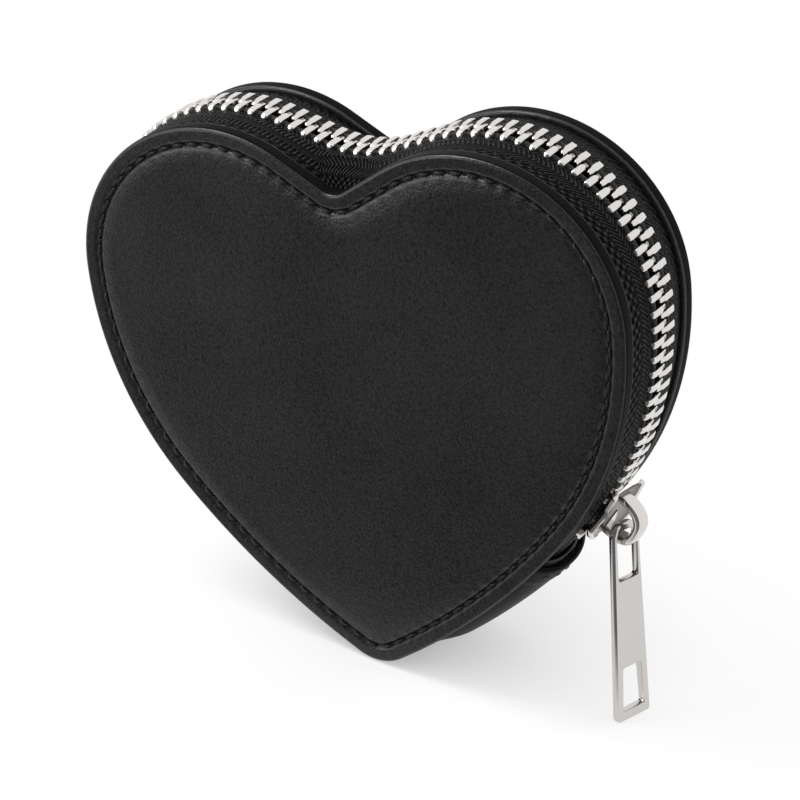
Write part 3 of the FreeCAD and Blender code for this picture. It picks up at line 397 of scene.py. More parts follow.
# The gusset's copy of the panel leather, coloured darker and with less shine: painted shade under the
# purse.
gusset_leather_painted_shade = leather("gusset_leather_painted_shade", "#010101", "#0d0c0d", 0.4, 0.05)
# Matt leather coloured darker than the panel's, for the side wall: painted shade.
side_shade_leather = leather("matt_leather_painted_side_shade", "#010101", "#0a0a0a", 0.55, 0.04)
print("leather", panel_leather.name, gusset_leather_painted_shade.name, side_shade_leather.name)

# %% [markdown]
# ### Woven zip tape
# Zip tape is a polyester herringbone: slanted yarns that turn back at every rib. It follows the
# tape, so it reads a map in millimetres: u along the tape, v from the sewn edge to the teeth. A zigzag
# of v added to u gives the slanted yarns. Near the sewn edge the binding yarns stand up as beads.

# %% Tape and cord
YARN_PITCH = 0.85
YARN_SLANT = 0.9
YARN_HEIGHT = 0.25
RIB_WIDTH = 1.7
RIB_SHARE = 0.3
BEAD_PITCH = 1.9
BEAD_ROW = 1.5
BEAD_BAND = 2.6
BEAD_FADE = 0.6
BEAD_SHARE = 1.5
FUZZ_SCALE = 1.7
FUZZ_DETAIL = 3.0
FUZZ_SHARE = 2.4
WEAVE_RANGE = (1.25, 2.35)
TWIST_HEIGHT = 0.06
TWIST_STRENGTH = 0.6


def woven_tape():
    """Polyester herringbone tape: yarns slanted by a zigzag, and beads by the sewn edge."""
    material, tree, surface = finish("polyester_zip_tape", Roughness=0.5, Specular_IOR_Level=0.06)
    uv = node(tree, "TexCoord").outputs["UV"]
    along, across, _ = node(tree, "SeparateXYZ", {0: uv}).outputs
    zigzag = node(tree, "Math", {0: across, 1: RIB_WIDTH}, operation="PINGPONG").outputs[0]
    slanted = node(tree, "Math", {0: zigzag, 1: YARN_SLANT, 2: along}, operation="MULTIPLY_ADD").outputs[0]
    yarns = waves(tree, slanted, YARN_PITCH)
    ribs = waves(tree, across, RIB_WIDTH)
    ribbed = node(tree, "Math", {0: ribs, 1: RIB_SHARE, 2: yarns}, operation="MULTIPLY_ADD").outputs[0]
    rows = waves(tree, across, BEAD_ROW)
    steps = waves(tree, along, BEAD_PITCH)
    crossed = node(tree, "Math", {0: rows, 1: steps}, operation="MULTIPLY").outputs[0]
    beads = node(tree, "Math", {0: crossed, 1: BEAD_SHARE}, operation="MULTIPLY").outputs[0]
    inner = node(tree, "MapRange", {"Value": across, "From Min": BEAD_BAND,
                                    "From Max": BEAD_BAND + BEAD_FADE}).outputs[0]
    weave = node(tree, "Mix", {0: inner, 2: beads, 3: ribbed}, data_type="FLOAT").outputs[0]
    fuzz = node(tree, "TexNoise", {"Vector": uv, "Scale": FUZZ_SCALE, "Detail": FUZZ_DETAIL}).outputs["Fac"]
    uneven = node(tree, "Math", {0: fuzz, 1: FUZZ_SHARE, 2: weave}, operation="MULTIPLY_ADD").outputs[0]
    # Raised yarns and beads take the lighter colour and the hollows the near black one: painted sheen and
    # painted shade, as the tape's own shine is kept low.
    relief(tree, surface, uneven, WEAVE_RANGE, ("#010101", "#3b3a3b"), 1.0, YARN_HEIGHT)
    return material


def twisted(name, base, light, pitch, slant, dull):
    """Twisted yarn: slanted ridges round a thread, from a map in millimetres."""
    material, tree, surface = finish(name, Roughness=dull, Specular_IOR_Level=0.3)
    along, across, _ = node(tree, "SeparateXYZ", {0: node(tree, "TexCoord").outputs["UV"]}).outputs
    slanted = node(tree, "Math", {0: across, 1: slant, 2: along}, operation="MULTIPLY_ADD").outputs[0]
    ridges = waves(tree, slanted, pitch)
    # The ridges take the light colour and the grooves the base one: painted sheen and painted shade of the
    # twist.
    relief(tree, surface, ridges, (-1.0, 1.0), (base, light), TWIST_STRENGTH, TWIST_HEIGHT)
    return material


zip_tape_cloth = woven_tape()
cord_yarn = twisted("corded_edge_yarn", "#080808", "#2a2a2a", 0.7, 0.8, 0.5)
sewing_thread = twisted("waxed_thread", "#050505", "#1d1d1d", 0.5, 0.9, 0.34)
print("tape", zip_tape_cloth.name, cord_yarn.name, sewing_thread.name)

# %% [markdown]
# ### Nickel plate
# The teeth, slider and pull are cast or stamped brass and zinc, barrel polished and nickel plated.
# Plate is bright with a faint warm tint and a haze of fine tumbling marks.

# %% Metal
TUMBLE_WIDTH = 3.5
TUMBLE_DETAIL = 3.0
HAZE_SHARES = (0.85, 1.2)


def nickel(name, base, dull):
    """Nickel plate: a bright metal whose haze varies slowly, as after tumbling."""
    material, tree, surface = finish(name, Metallic=1.0, Base_Color=colour(base))
    coords = node(tree, "TexCoord").outputs["Object"]
    haze(tree, surface, coords, TUMBLE_WIDTH, TUMBLE_DETAIL, [dull * share for share in HAZE_SHARES])
    return material


tooth_metal = nickel("nickel_plated_brass", "#dcd9d6", 0.16)
slider_metal = nickel("polished_nickel", "#d9d5d2", 0.15)
# A dark grey copy of the nickel for the slider's dish: painted shade in the recess.
dish_shade_metal = nickel("nickel_painted_dish_shade", "#6f6b68", 0.24)
pull_metal = nickel("satin_nickel", "#cdc9c6", 0.17)
print("metal", tooth_metal.name, slider_metal.name, dish_shade_metal.name, pull_metal.name)

# %% [markdown]
# ### Lining, foam and board
# The inside is lined with thin black taffeta, a plain weave. The foam and the greyboard are hidden in
# the panels, but someone may take the purse apart, so they get their own finishes.

# %% Inner materials
TAFFETA_PITCH = 0.5
TAFFETA_HEIGHT = 0.05
TAFFETA_STRENGTH = 0.4
FOAM_CELL = 0.6
FIBRE_WIDTH = 1.4
FLECK_HEIGHT = 0.1
FLECK_DETAIL = 6.0
FLECK_STRENGTH = 0.5


def taffeta():
    """Plain weave: two crossed sines, as coarse as it needs to show."""
    material, tree, surface = finish("black_taffeta", Roughness=0.5, Sheen_Weight=0.15)
    coords = node(tree, "TexCoord").outputs["Object"]
    lengths = node(tree, "VectorMath", {0: coords, 3: per_metre(1.0)}, operation="SCALE").outputs[0]
    warp, _, weft = node(tree, "SeparateXYZ", {0: lengths}).outputs
    warp, weft = (waves(tree, way, TAFFETA_PITCH) for way in (warp, weft))
    weave = node(tree, "Math", {0: warp, 1: weft}, operation="MULTIPLY").outputs[0]
    # The weave's raised crossings take the lighter colour and its hollows the darker: painted sheen and
    # painted shade.
    relief(tree, surface, weave, (-1.0, 1.0), ("#121214", "#2b2b2e"), TAFFETA_STRENGTH, TAFFETA_HEIGHT)
    return material


def flecked(name, dark, light, width, dull):
    """A dull body with flecks of a real width: foam cells or board fibres."""
    material, tree, surface = finish(name, Roughness=dull)
    coords = node(tree, "TexCoord").outputs["Object"]
    flecks = node(tree, "TexNoise", {"Vector": coords, "Scale": per_metre(width), "Detail": FLECK_DETAIL})
    relief(tree, surface, flecks.outputs["Fac"], (0.0, 1.0), (dark, light), FLECK_STRENGTH, FLECK_HEIGHT)
    return material


lining_cloth = taffeta()
foam_body = flecked("polyurethane_foam", "#4a4a4c", "#7d7d80", FOAM_CELL, 0.95)
board_body = flecked("greyboard", "#6d6a64", "#9a958c", FIBRE_WIDTH, 0.9)
for node_name in ("front_board", "back_board"):
    frame["nodes"][node_name].data.materials.clear()
    frame["nodes"][node_name].data.materials.append(board_body)
print("inside", lining_cloth.name, foam_body.name, board_body.name)

# %% [markdown]
# ## Leather panels
# Each heart is leather turned over foam and board: a soft rolled rim, a sewn valley 3 mm in with a
# pucker at every needle hole, and a face that swells a little from the foam. A block could not show
# the roll or the valley, so one section is carried round the outline and then drawn in to a centre.

# %% Section of a panel
STITCH_INSET = 3.0
STITCH_PITCH = 3.0
STATIONS_PER_STITCH = 8
LEATHER = 1.0
FOOT_ROUND = 0.5
RIM_RUN = 0.65
RIM_RISE = 0.6
VALLEY_DEPTH = 0.42
VALLEY_HALF = 0.5
HOLE_DEPTH = 0.3
PUCKER_DEPTH = 0.09
PUCKER_REACH = 1.3
FACE_SWELL = 0.28
SWELL_REACH = 2.2
BORDER_INSET = 6.4
CROWN_SWELL = 0.15
HEART_CENTRE = np.array((0.0, 58.0))
DIMPLE_HEIGHT = 0.05
DIMPLE_LENGTHS = (9.0, 11.0)
SWEEP_HEIGHT = 0.07
SWEEP_LENGTHS = (17.0, 13.0)
WAVE_STARTS = (0.6, 1.0)

stitch_length = run_ends(STITCH_INSET, PANEL_NOTCH)[-1]
stitch_count = int(stitch_length // STITCH_PITCH)
station_count = stitch_count * STATIONS_PER_STITCH
stations = np.arange(station_count) * stitch_length / station_count
stitch_line, stitch_normal = outline(stations, STITCH_INSET)
needle_phase = np.cos(2 * math.pi * np.arange(station_count) / STATIONS_PER_STITCH)


def ring_points(insets):
    """Outlines at one or several insets: the stitch line moved along its normals."""
    return stitch_line + (STITCH_INSET - np.asarray(insets))[..., None, None] * stitch_normal


def drawn_in(ring, shares):
    """Rings between a border and the heart's centre: centre + share * (border - centre)."""
    return HEART_CENTRE + shares[:, None, None] * (ring - HEART_CENTRE)


def face_height(inset):
    """Height of the face over its inset: flat, a valley on the stitch line, then the foam's swell.

    Needle holes pull the valley deeper once a stitch, and puckers run a little way in from them.
    """
    inset = inset[:, None]
    valley = np.exp(-((inset - STITCH_INSET) / VALLEY_HALF) ** 2)
    inward = np.clip(inset - STITCH_INSET, 0.0, None)
    swell = FACE_SWELL * (1 - np.exp(-(inward / SWELL_REACH) ** 2))
    pucker = PUCKER_DEPTH * (inward > 0) * np.exp(-(inward / PUCKER_REACH) ** 2)
    holes = (HOLE_DEPTH * valley ** 2 + pucker) * (0.5 + 0.5 * needle_phase)
    return panel_depth - VALLEY_DEPTH * valley + swell - holes


def soft_waves(flat):
    """Slow unevenness of leather over foam: crossed sines, and a longer one on the slant."""
    x, z = flat[..., 0], flat[..., 1]
    dimples = DIMPLE_HEIGHT * np.sin(x / DIMPLE_LENGTHS[0] + WAVE_STARTS[0]) * np.sin(z / DIMPLE_LENGTHS[1])
    slant = x / SWEEP_LENGTHS[0] - z / SWEEP_LENGTHS[1]
    return dimples + SWEEP_HEIGHT * np.sin(slant + WAVE_STARTS[1])


def heart_shell(flat, depth, poles):
    """Points of rings of a heart, then a pole inside the first ring and one inside the last."""
    rings = place(flat, depth).reshape(-1, 3)
    return np.concatenate((rings, [place(HEART_CENTRE, pole) for pole in poles]))


def shell_faces(rows):
    """Faces of rings of a heart that are closed by a pole at each end."""
    first = np.arange(station_count)
    second = (first + 1) % station_count
    last = (rows - 1) * station_count
    pole = np.full(station_count, rows * station_count)
    start = np.stack((first, second, pole), -1)
    end = np.stack((last + second, last + first, pole + 1), -1)
    return [ring_faces(rows, station_count), start, end]


# %% Make the panels
INNER_SHARES = np.linspace(0.25, 1.0, 4)[:-1]
OUTER_SHARES = np.linspace(1.0, 0.06, 13)[1:]
FACE_STEPS = 24
FOOT_STEPS = 4
RIM_STEPS = 10
SHADED_SIDE_STEPS = 4
foot_turn = np.linspace(0, math.pi / 2, FOOT_STEPS)
rim_turn = np.linspace(0, math.pi / 2, RIM_STEPS)
side_insets = np.concatenate((
    [LEATHER, LEATHER],
    FOOT_ROUND * (1 - np.sin(foot_turn)),
    RIM_RUN * (1 - np.cos(rim_turn)),
))
side_heights = np.concatenate((
    [panel_depth - LEATHER, 0.0],
    FOOT_ROUND * (1 - np.cos(foot_turn)),
    panel_depth - RIM_RISE * (1 - np.sin(rim_turn)),
))
face_insets = np.linspace(RIM_RUN, BORDER_INSET, FACE_STEPS)[1:]


def leather_panel(side_name, inner, outward):
    """A heart of leather: inner face, turned edge, side, rolled rim, sewn valley and swollen face.

    The side, from the foot to the first steps of the rim, takes a matt leather coloured darker than the
    face: painted shade on the side wall.
    """
    inner_rings = drawn_in(ring_points(LEATHER), INNER_SHARES)
    side_rings = ring_points(side_insets)
    face_rings = ring_points(face_insets)
    centre_rings = drawn_in(face_rings[-1], OUTER_SHARES)
    flat = np.concatenate((inner_rings, side_rings, face_rings, centre_rings))
    under = panel_depth - LEATHER
    top = panel_depth + FACE_SWELL
    heights = np.concatenate((
        np.full((len(inner_rings), station_count), under),
        np.repeat(side_heights[:, None], station_count, 1),
        face_height(face_insets),
        np.repeat((top + CROWN_SWELL * (1 - OUTER_SHARES ** 2))[:, None], station_count, 1),
    ))
    ease = np.concatenate((
        np.zeros(len(inner_rings) + len(side_rings)),
        np.clip((face_insets - STITCH_INSET) / (BORDER_INSET - STITCH_INSET), 0, 1) ** 2,
        np.ones(len(OUTER_SHARES)),
    ))
    heights = heights + ease[:, None] * soft_waves(flat)
    peak = top + CROWN_SWELL + soft_waves(HEART_CENTRE)
    points = heart_shell(flat, inner + outward * heights, (inner + outward * under, inner + outward * peak))
    # The side wall's rows take the darker matt leather: painted shade.
    ring = np.arange(len(flat) - 1) - len(inner_rings) - FOOT_STEPS - 1
    is_shaded_side = np.repeat((ring >= 0) & (ring < SHADED_SIDE_STEPS), station_count)
    piece = make(side_name + "_padded_panel", points, shell_faces(len(flat)), panel_leather,
                 other=side_shade_leather, other_faces=np.pad(is_shaded_side, (0, 2 * station_count)))
    seat(piece, side_name + "_half", "leather", side_name + "_leather_panel")


SIDES = (("front", front_inner, -1.0), ("back", back_inner, 1.0))
for side_name, inner, outward in SIDES:
    leather_panel(side_name, inner, outward)

# %% [markdown]
# ## Foam and lining hearts
# Thin sheets cut to the same heart: a foam pad between leather and board, and a taffeta heart glued
# over the seam margins. Both are slabs with soft edges, made by drawing rings in to the centre.

# %% Slabs
EDGE_SHARES = np.array((-1.0, -0.7, 0.0, 0.7, 1.0))
SLAB_SHARES = np.linspace(0.2, 1.0, 5)[:-1]
LINING_INSET = 1.65


def heart_slab(name, node_name, inset, material):
    """A thin heart between its node's two faces, with an edge that is half a circle."""
    low, high = box_of(node_name)[:, 1]
    level, half = (low + high) / 2, (high - low) / 2
    edge = ring_points(inset + half * (1 - np.sqrt(1 - EDGE_SHARES ** 2)))
    flat = np.concatenate((drawn_in(edge[0], SLAB_SHARES), edge, drawn_in(edge[-1], SLAB_SHARES[::-1])))
    lift = half * np.pad(EDGE_SHARES, len(SLAB_SHARES), mode="edge")
    points = heart_shell(flat, level + lift[:, None], (level - half, level + half))
    return make(name, points, shell_faces(len(flat)), material)


for side_name, inner, outward in SIDES:
    pad = heart_slab(side_name + "_foam_pad", side_name + "_foam", LEATHER, foam_body)
    seat(pad, side_name + "_half", "foam", side_name + "_foam")
    lining = heart_slab(side_name + "_lining_cloth", side_name + "_lining", LINING_INSET, lining_cloth)
    seat(lining, side_name + "_half", "lining", side_name + "_lining")

# %% [markdown]
# ## Edge stitching
# Lock stitches in thick waxed thread. Each visible stitch is a short arch that dives into its needle
# holes, so it is a tube with a few sides whose ends narrow and sink.

# %% Stitches
STITCH_LENGTH = 2.35
STITCH_DIP = 0.5
STITCH_PROUD = 0.3
STITCH_SHARES = np.linspace(-0.96, 0.96, 7)[:, None]
THREAD_RADIUS = 0.3
THREAD_SIDES = 6


def thread_shape():
    """One stitch along x: a tube whose middle lies level and whose ends narrow and dip by a cube."""
    turn = np.arange(THREAD_SIDES) * 2 * math.pi / THREAD_SIDES
    cube = np.abs(STITCH_SHARES) ** 3
    radius = THREAD_RADIUS * np.sqrt(1 - cube)
    y = radius * np.cos(turn)
    z = radius * np.sin(turn) - STITCH_DIP * cube
    x = np.broadcast_to(STITCH_SHARES * STITCH_LENGTH / 2, y.shape)
    flat = np.stack((x, np.broadcast_to(turn * THREAD_RADIUS, y.shape)), -1).reshape(-1, 2)
    return np.stack((x, y, z), -1).reshape(-1, 3), tube_faces(*y.shape), flat


thread, thread_faces, thread_map = thread_shape()


def sew(name, origins, ahead, up):
    """A row of stitches, one at each origin, laid ahead along the seam with their backs up."""
    axes = np.stack((ahead, np.cross(up, ahead), up), 1)
    points, faces = repeated(thread, thread_faces, origins, axes)
    return make(name, points, faces, sewing_thread, np.tile(thread_map, (len(origins), 1)))


seam_at, seam_out = outline((np.arange(stitch_count) + 0.5) * stitch_length / stitch_count, STITCH_INSET)
for side_name, inner, outward in SIDES:
    face = inner + outward * (panel_depth - VALLEY_DEPTH + STITCH_PROUD)
    up = np.broadcast_to((0.0, outward, 0.0), (stitch_count, 3))
    seam = sew(side_name + "_seam_thread", place(seam_at, face), heading(seam_out), up)
    seat(seam, side_name + "_half", "thread", side_name + "_stitching")

# %% [markdown]
# ## Zip tapes
# A tape is sewn to the panel's edge and carries the teeth on its other edge. At the notch the panel
# dips sharply while the zip takes a wide curve, so the tape makes a saddle. Its section is drawn from
# the panel's line to the zip's line, with points matched arc by arc, and carried along the chain.

# %% Tape surfaces
CHAIN_INSET = 0.2
TAPE_INSET = 1.0
TAPE = 0.6
TAPE_BEND = 4.65
TAPE_EASE = 0.5
TAPE_STEP = 0.7
TAPE_TUCK = 3.5
SEAM = 0.6
SEAM_WIDTH = 5.5
CORD_PLACE = 2.25
CORD_WIDTH = 1.3
CORD_HEIGHT = 1.4
CORD_SIDES = 12
GUSSET_TOP = 22.0
WALL_STEPS = 11

zip_ends = run_ends(CHAIN_INSET, ZIP_NOTCH)
zip_whole = zip_ends[-1]
zip_start = distance_at(GUSSET_TOP - TAPE_TUCK, CHAIN_INSET, ZIP_NOTCH)
zip_steps = np.linspace(zip_start, zip_whole - zip_start, int((zip_whole - 2 * zip_start) / TAPE_STEP))
zip_line, zip_out = outline(zip_steps, CHAIN_INSET, ZIP_NOTCH)
panel_steps = np.interp(zip_steps, zip_ends, run_ends(TAPE_INSET, PANEL_NOTCH))
sewn_line, sewn_out = outline(panel_steps, TAPE_INSET, PANEL_NOTCH)


def tape_section():
    """Rows of (share of the way to the zip, depth from the middle, offset outwards)."""
    share = np.linspace(0.0, 1.0, WALL_STEPS)
    eased = share * (1 + TAPE_EASE - TAPE_EASE * share)
    depth = inner_face + (TAPE_BEND - inner_face) * share
    cord_edge = CORD_PLACE + CORD_WIDTH / 2
    outer = np.stack((eased, depth, np.full(WALL_STEPS, TAPE / 2)), -1)
    clamp = np.array(((1.0, cord_edge, TAPE / 2), (1.0, cord_edge, -TAPE / 2)))
    inside = outer[::-1] * (1, 1, -1)
    inside[-1, 1] = inner_face - SEAM
    margin = np.array(((0.0, inner_face - SEAM, -SEAM_WIDTH), (0.0, inner_face, -SEAM_WIDTH)))
    return np.concatenate((outer, clamp, inside, margin))


def zip_map(across):
    """A map in millimetres: the way along the zip, and a given way across."""
    return np.stack((np.broadcast_to(zip_steps[:, None], across.shape), across), -1).reshape(-1, 2)


def zip_tape(side_name, outward):
    """The tape: each section point is mixed from the sewn line and the zip line, then offset."""
    share, depth, offset = tape_section().T[:, :, None]
    base = (1 - share) * (sewn_line - TAPE / 2 * sewn_out)[:, None] + share * zip_line[:, None]
    normal = unit((1 - share) * sewn_out[:, None] + share * zip_out[:, None])
    points = place(base + offset * normal, middle + outward * depth[:, 0])
    steps = np.linalg.norm(np.diff(points, axis=1, prepend=points[:, :1]), axis=2)
    piece = make_tube(side_name + "_woven_tape", points, zip_tape_cloth, zip_map(np.cumsum(steps, 1)))
    seat(piece, side_name + "_half", "tape", side_name + "_zip_tape")


def corded_edge(side_name, outward):
    """The cord in the tape's edge: an ellipse carried along the zip line."""
    turn = np.arange(CORD_SIDES) * 2 * math.pi / CORD_SIDES
    lift = CORD_HEIGHT / 2 * np.sin(turn)
    depth = middle + outward * (CORD_PLACE + CORD_WIDTH / 2 * np.cos(turn))
    points = place(zip_line[:, None] + lift[:, None] * zip_out[:, None], depth)
    round_cord = np.broadcast_to(turn * CORD_HEIGHT / 2, points.shape[:2])
    piece = make_tube(side_name + "_corded_edge", points, cord_yarn, zip_map(round_cord))
    seat(piece, side_name + "_half", "cord", side_name + "_zip_cord")


for side_name, inner, outward in SIDES:
    zip_tape(side_name, outward)
    corded_edge(side_name, outward)

# %% [markdown]
# ## Zip teeth
# Each tooth is a small clamp pressed on to the cord, with a narrower head that lies between two heads
# of the other row. It is a rounded rectangle carried from the clamp's end to the head, so a few dozen
# faces give the bright top and the dark sides. The rows are made by one loop over the chain.

# %% Teeth
TOOTH_PITCH = 2.6
SLIDER_ANGLE = math.radians(35.5)
SLIDER_SWING = math.radians(35.0)
SLIDER_TAIL = 5.0
SLIDER_MOUTH = 5.4
WEDGE_TIP = 0.3
CLAMP_LENGTH = 1.5
CHAIN_END = 26.6
TOOTH_CORNER = 0.16
TOOTH_SECTIONS = np.array((
    (3.72, 0.46, 0.8),
    (3.55, 0.56, 1.05),
    (3.1, 0.6, 1.22),
    (2.4, 0.6, 1.25),
    (0.9, 0.6, 1.25),
    (0.65, 0.47, 1.18),
    (-0.5, 0.45, 1.05),
    (-0.75, 0.3, 0.85),
))


def blunt_bar(sections, corner):
    """A bar along y: at each section of (y, half length, half height), a rectangle with cut corners."""
    y, half_x, half_z = sections.T[:, :, None]
    sign_x = np.array((1, 1, 1, -1, -1, -1, -1, 1.0))
    sign_z = np.array((-1, 1, 1, 1, 1, -1, -1, -1.0))
    cut_x = np.array((0, 0, 1, 1, 0, 0, 1, 1.0))
    x = sign_x * (half_x - corner * cut_x)
    z = sign_z * (half_z - corner * (1 - cut_x))
    points = np.stack((x, np.broadcast_to(y, x.shape), z), -1)
    return points.reshape(-1, 3), tube_faces(*x.shape)


def chain_axes(distance, outward):
    """Origins and axes on the chain: ahead along it, across to the side, up out of the purse."""
    at, out = outline(np.atleast_1d(distance), CHAIN_INSET, ZIP_NOTCH)
    across = np.broadcast_to((0.0, outward, 0.0), (len(at), 3))
    return place(at, middle), np.stack((heading(out), across, upright(out)), 1)


tooth, tooth_faces = blunt_bar(TOOTH_SECTIONS, TOOTH_CORNER)
chain_radius = SIDE_RADIUS - CHAIN_INSET
slider_at = zip_ends[SIDE_END] - SLIDER_ANGLE * chain_radius
worked_end = slider_at + SLIDER_SWING * chain_radius + SLIDER_TAIL + TOOTH_PITCH
first_tooth = slider_at - WEDGE_TIP + CLAMP_LENGTH
last_tooth = zip_whole - distance_at(CHAIN_END, CHAIN_INSET, ZIP_NOTCH)
tooth_steps = np.arange(first_tooth, last_tooth, TOOTH_PITCH / 2)
is_front = np.arange(len(tooth_steps)) % 2 == 0
for side_name, inner, outward in SIDES:
    own = is_front if side_name == "front" else ~is_front
    for row_name, chosen in (("zip", tooth_steps >= worked_end), ("slider", tooth_steps < worked_end)):
        points, faces = repeated(tooth, tooth_faces, *chain_axes(tooth_steps[own & chosen], outward))
        row = make(side_name + "_" + row_name + "_tooth_row", points, faces, tooth_metal)
        seat(row, side_name + "_half", "metal", side_name + "_" + row_name + "_teeth")
print(len(tooth_steps), "teeth")

# %% [markdown]
# ### Top stops
# A clip at the end of each row keeps the slider on the chain. It is pressed over the cord as a tooth
# is, so it is the same kind of bar, longer along the chain and with no head.

# %% Stop clips
STOP_LENGTH = 2.0
STOP_GAP = 0.6
STOP_SECTIONS = np.array((
    (1.0, 0.7, 0.95),
    (1.25, 1.0, 1.25),
    (4.25, 1.0, 1.25),
    (4.5, 0.75, 1.0),
))
stop_at = slider_at - SLIDER_MOUTH - STOP_GAP - STOP_LENGTH / 2
stop_shape, stop_faces = blunt_bar(STOP_SECTIONS, TOOTH_CORNER)
for side_name, inner, outward in SIDES:
    points, faces = repeated(stop_shape, stop_faces, *chain_axes(stop_at, outward))
    stop = make(side_name + "_stop_clip", points, faces, tooth_metal)
    seat(stop, side_name + "_half", "metal", side_name + "_top_stop")

# %% [markdown]
# ## Gusset
# Below the zip ends a strip of the same leather closes the wall round the tip. Its ends are turned
# under and sewn across, so the strip is thicker there. It is one surface that follows the back half
# on one edge and the front half on the other.

# %% Gusset strip
GUSSET = 0.6
GUSSET_SINK = 0.3
GUSSET_BULGE = 3.3
BULGE_POWER = 2.4
BULGE_FROM = 1.0
BULGE_RUN = 13.0
HEM_LENGTH = 5.0
HEM_EXTRA = 0.5
HEM_EASE = 1.2
HEM_OUTER_SHARE = 0.3
HEM_ROUND = 0.7
STRIP_ROWS = 240
STRIP_SHARES = np.linspace(-1, 1, 21)
gusset_end = distance_at(GUSSET_TOP, 0.0, PANEL_NOTCH)
strip_steps = np.linspace(-gusset_end, gusset_end, STRIP_ROWS)
to_end = gusset_end - np.abs(strip_steps)
strip_line, strip_out = outline(strip_steps)


def smooth(share):
    """Cubic ease from 0 to 1 with level ends: 3 s^2 - 2 s^3."""
    share = np.clip(share, 0, 1)
    return share * share * (3 - 2 * share)


def rounding(radius, to_edge):
    """How far a quarter circle of a radius falls back at a distance from its edge."""
    return radius - np.sqrt(radius ** 2 - np.clip(radius - to_edge, 0, None) ** 2)


def bulge(along, share):
    """How far the soft strip stands out: most at mid depth, nothing at the tip and at the seams."""
    grown = GUSSET_BULGE * smooth((np.abs(along) - BULGE_FROM) / BULGE_RUN)
    return grown * (1 - np.abs(share) ** BULGE_POWER) - GUSSET_SINK


def over_strip(lift, across):
    """Points lifted outwards from the strip's line, at places across the wall."""
    return place(strip_line[:, None] + lift[..., None] * strip_out[:, None], middle + across)


def bend(piece, node_name):
    """The piece spans from the back half to the front half, stays fixed in the frame and stands for a node.
    """
    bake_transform(piece)
    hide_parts(node_name)


def gusset_strip():
    """The strip: a bulging skin and its inner side, a turned hem at each end, and seam margins."""
    outer = bulge(strip_steps[:, None], STRIP_SHARES)
    end_round = rounding(HEM_ROUND, to_end)
    hem = HEM_EXTRA * smooth((HEM_LENGTH - to_end) / HEM_EASE)
    inner = outer[:, ::-1] - GUSSET - hem[:, None] + end_round[:, None]
    outer = outer + (HEM_OUTER_SHARE * hem - end_round)[:, None]
    margin = np.full((STRIP_ROWS, 2), -SEAM_WIDTH)
    lift = np.concatenate((outer, margin, inner, margin), 1)
    across = np.concatenate((
        STRIP_SHARES * inner_face,
        (inner_face, inner_face - SEAM),
        STRIP_SHARES[::-1] * (inner_face - SEAM),
        (SEAM - inner_face, -inner_face),
    ))
    # The strip takes the darker gusset leather: painted shade.
    return make_tube("gusset_leather_strip", over_strip(lift, across), gusset_leather_painted_shade)


bend(gusset_strip(), "bottom_gusset")

# %% [markdown]
# ### Gusset lining and end seams
# A taffeta strip lines the gusset, and a short row of stitches holds each turned end. Both follow the
# same bulge as the strip.

# %% Gusset lining and stitches
GUSSET_LINING_HALF = 8.4
LINING = 0.4
CLOTH_SHARES = np.linspace(-1, 1, 13)
END_STITCHES = 5
END_DROP = 2.2
END_SINK = 0.05
SLOPE_STEP = 0.01


def gusset_cloth():
    """A thin sheet that follows the bulge, with the width and the length that it is cut to."""
    top = bulge(strip_steps[:, None], CLOTH_SHARES) + GUSSET_SINK - LINING_INSET
    lift = np.concatenate((top, top[:, ::-1] - LINING), 1)
    across = np.concatenate((CLOTH_SHARES, CLOTH_SHARES[::-1])) * GUSSET_LINING_HALF
    points = over_strip(lift, across)
    count = len(CLOTH_SHARES)
    width = np.linalg.norm(np.diff(points[:, :count], axis=1), axis=2).sum(1).max()
    length = np.linalg.norm(np.diff(points[:, count // 2], axis=0), axis=1).sum()
    return make_tube("gusset_lining_cloth", points, lining_cloth), (width, length)


cloth, cloth_cut = gusset_cloth()
bend(cloth, "gusset_lining")
print("gusset lining cut", cloth_cut)

end_steps = np.repeat((gusset_end - END_DROP, END_DROP - gusset_end), END_STITCHES)
end_depth = np.tile((np.arange(END_STITCHES) + 0.5 - END_STITCHES / 2) * STITCH_PITCH, 2)
end_share = end_depth / inner_face
end_lift = bulge(end_steps, end_share) + HEM_OUTER_SHARE * HEM_EXTRA - END_SINK
end_rise = bulge(end_steps, end_share + SLOPE_STEP) - bulge(end_steps, end_share - SLOPE_STEP)
end_slope = end_rise / (2 * SLOPE_STEP * inner_face)
end_at, end_out = outline(end_steps)
end_out = upright(end_out)
end_ahead = unit(np.array((0.0, 1.0, 0.0)) + end_slope[:, None] * end_out)
end_up = unit(end_out - np.sum(end_out * end_ahead, 1, keepdims=True) * end_ahead)
end_origins = place(end_at, middle + end_depth) + end_lift[:, None] * end_out
bend(sew("gusset_seam_thread", end_origins, end_ahead, end_up), "gusset_stitching")

# %% [markdown]
# ## Slider
# A cast slider: two plates joined by a wedge, with lips down their edges that keep the teeth in. The
# plate is narrow over the closed chain and swells in an S curve where the chain parts. Its section is
# carried along that curve, with a raised rim, so the rim catches the light as on the real casting.

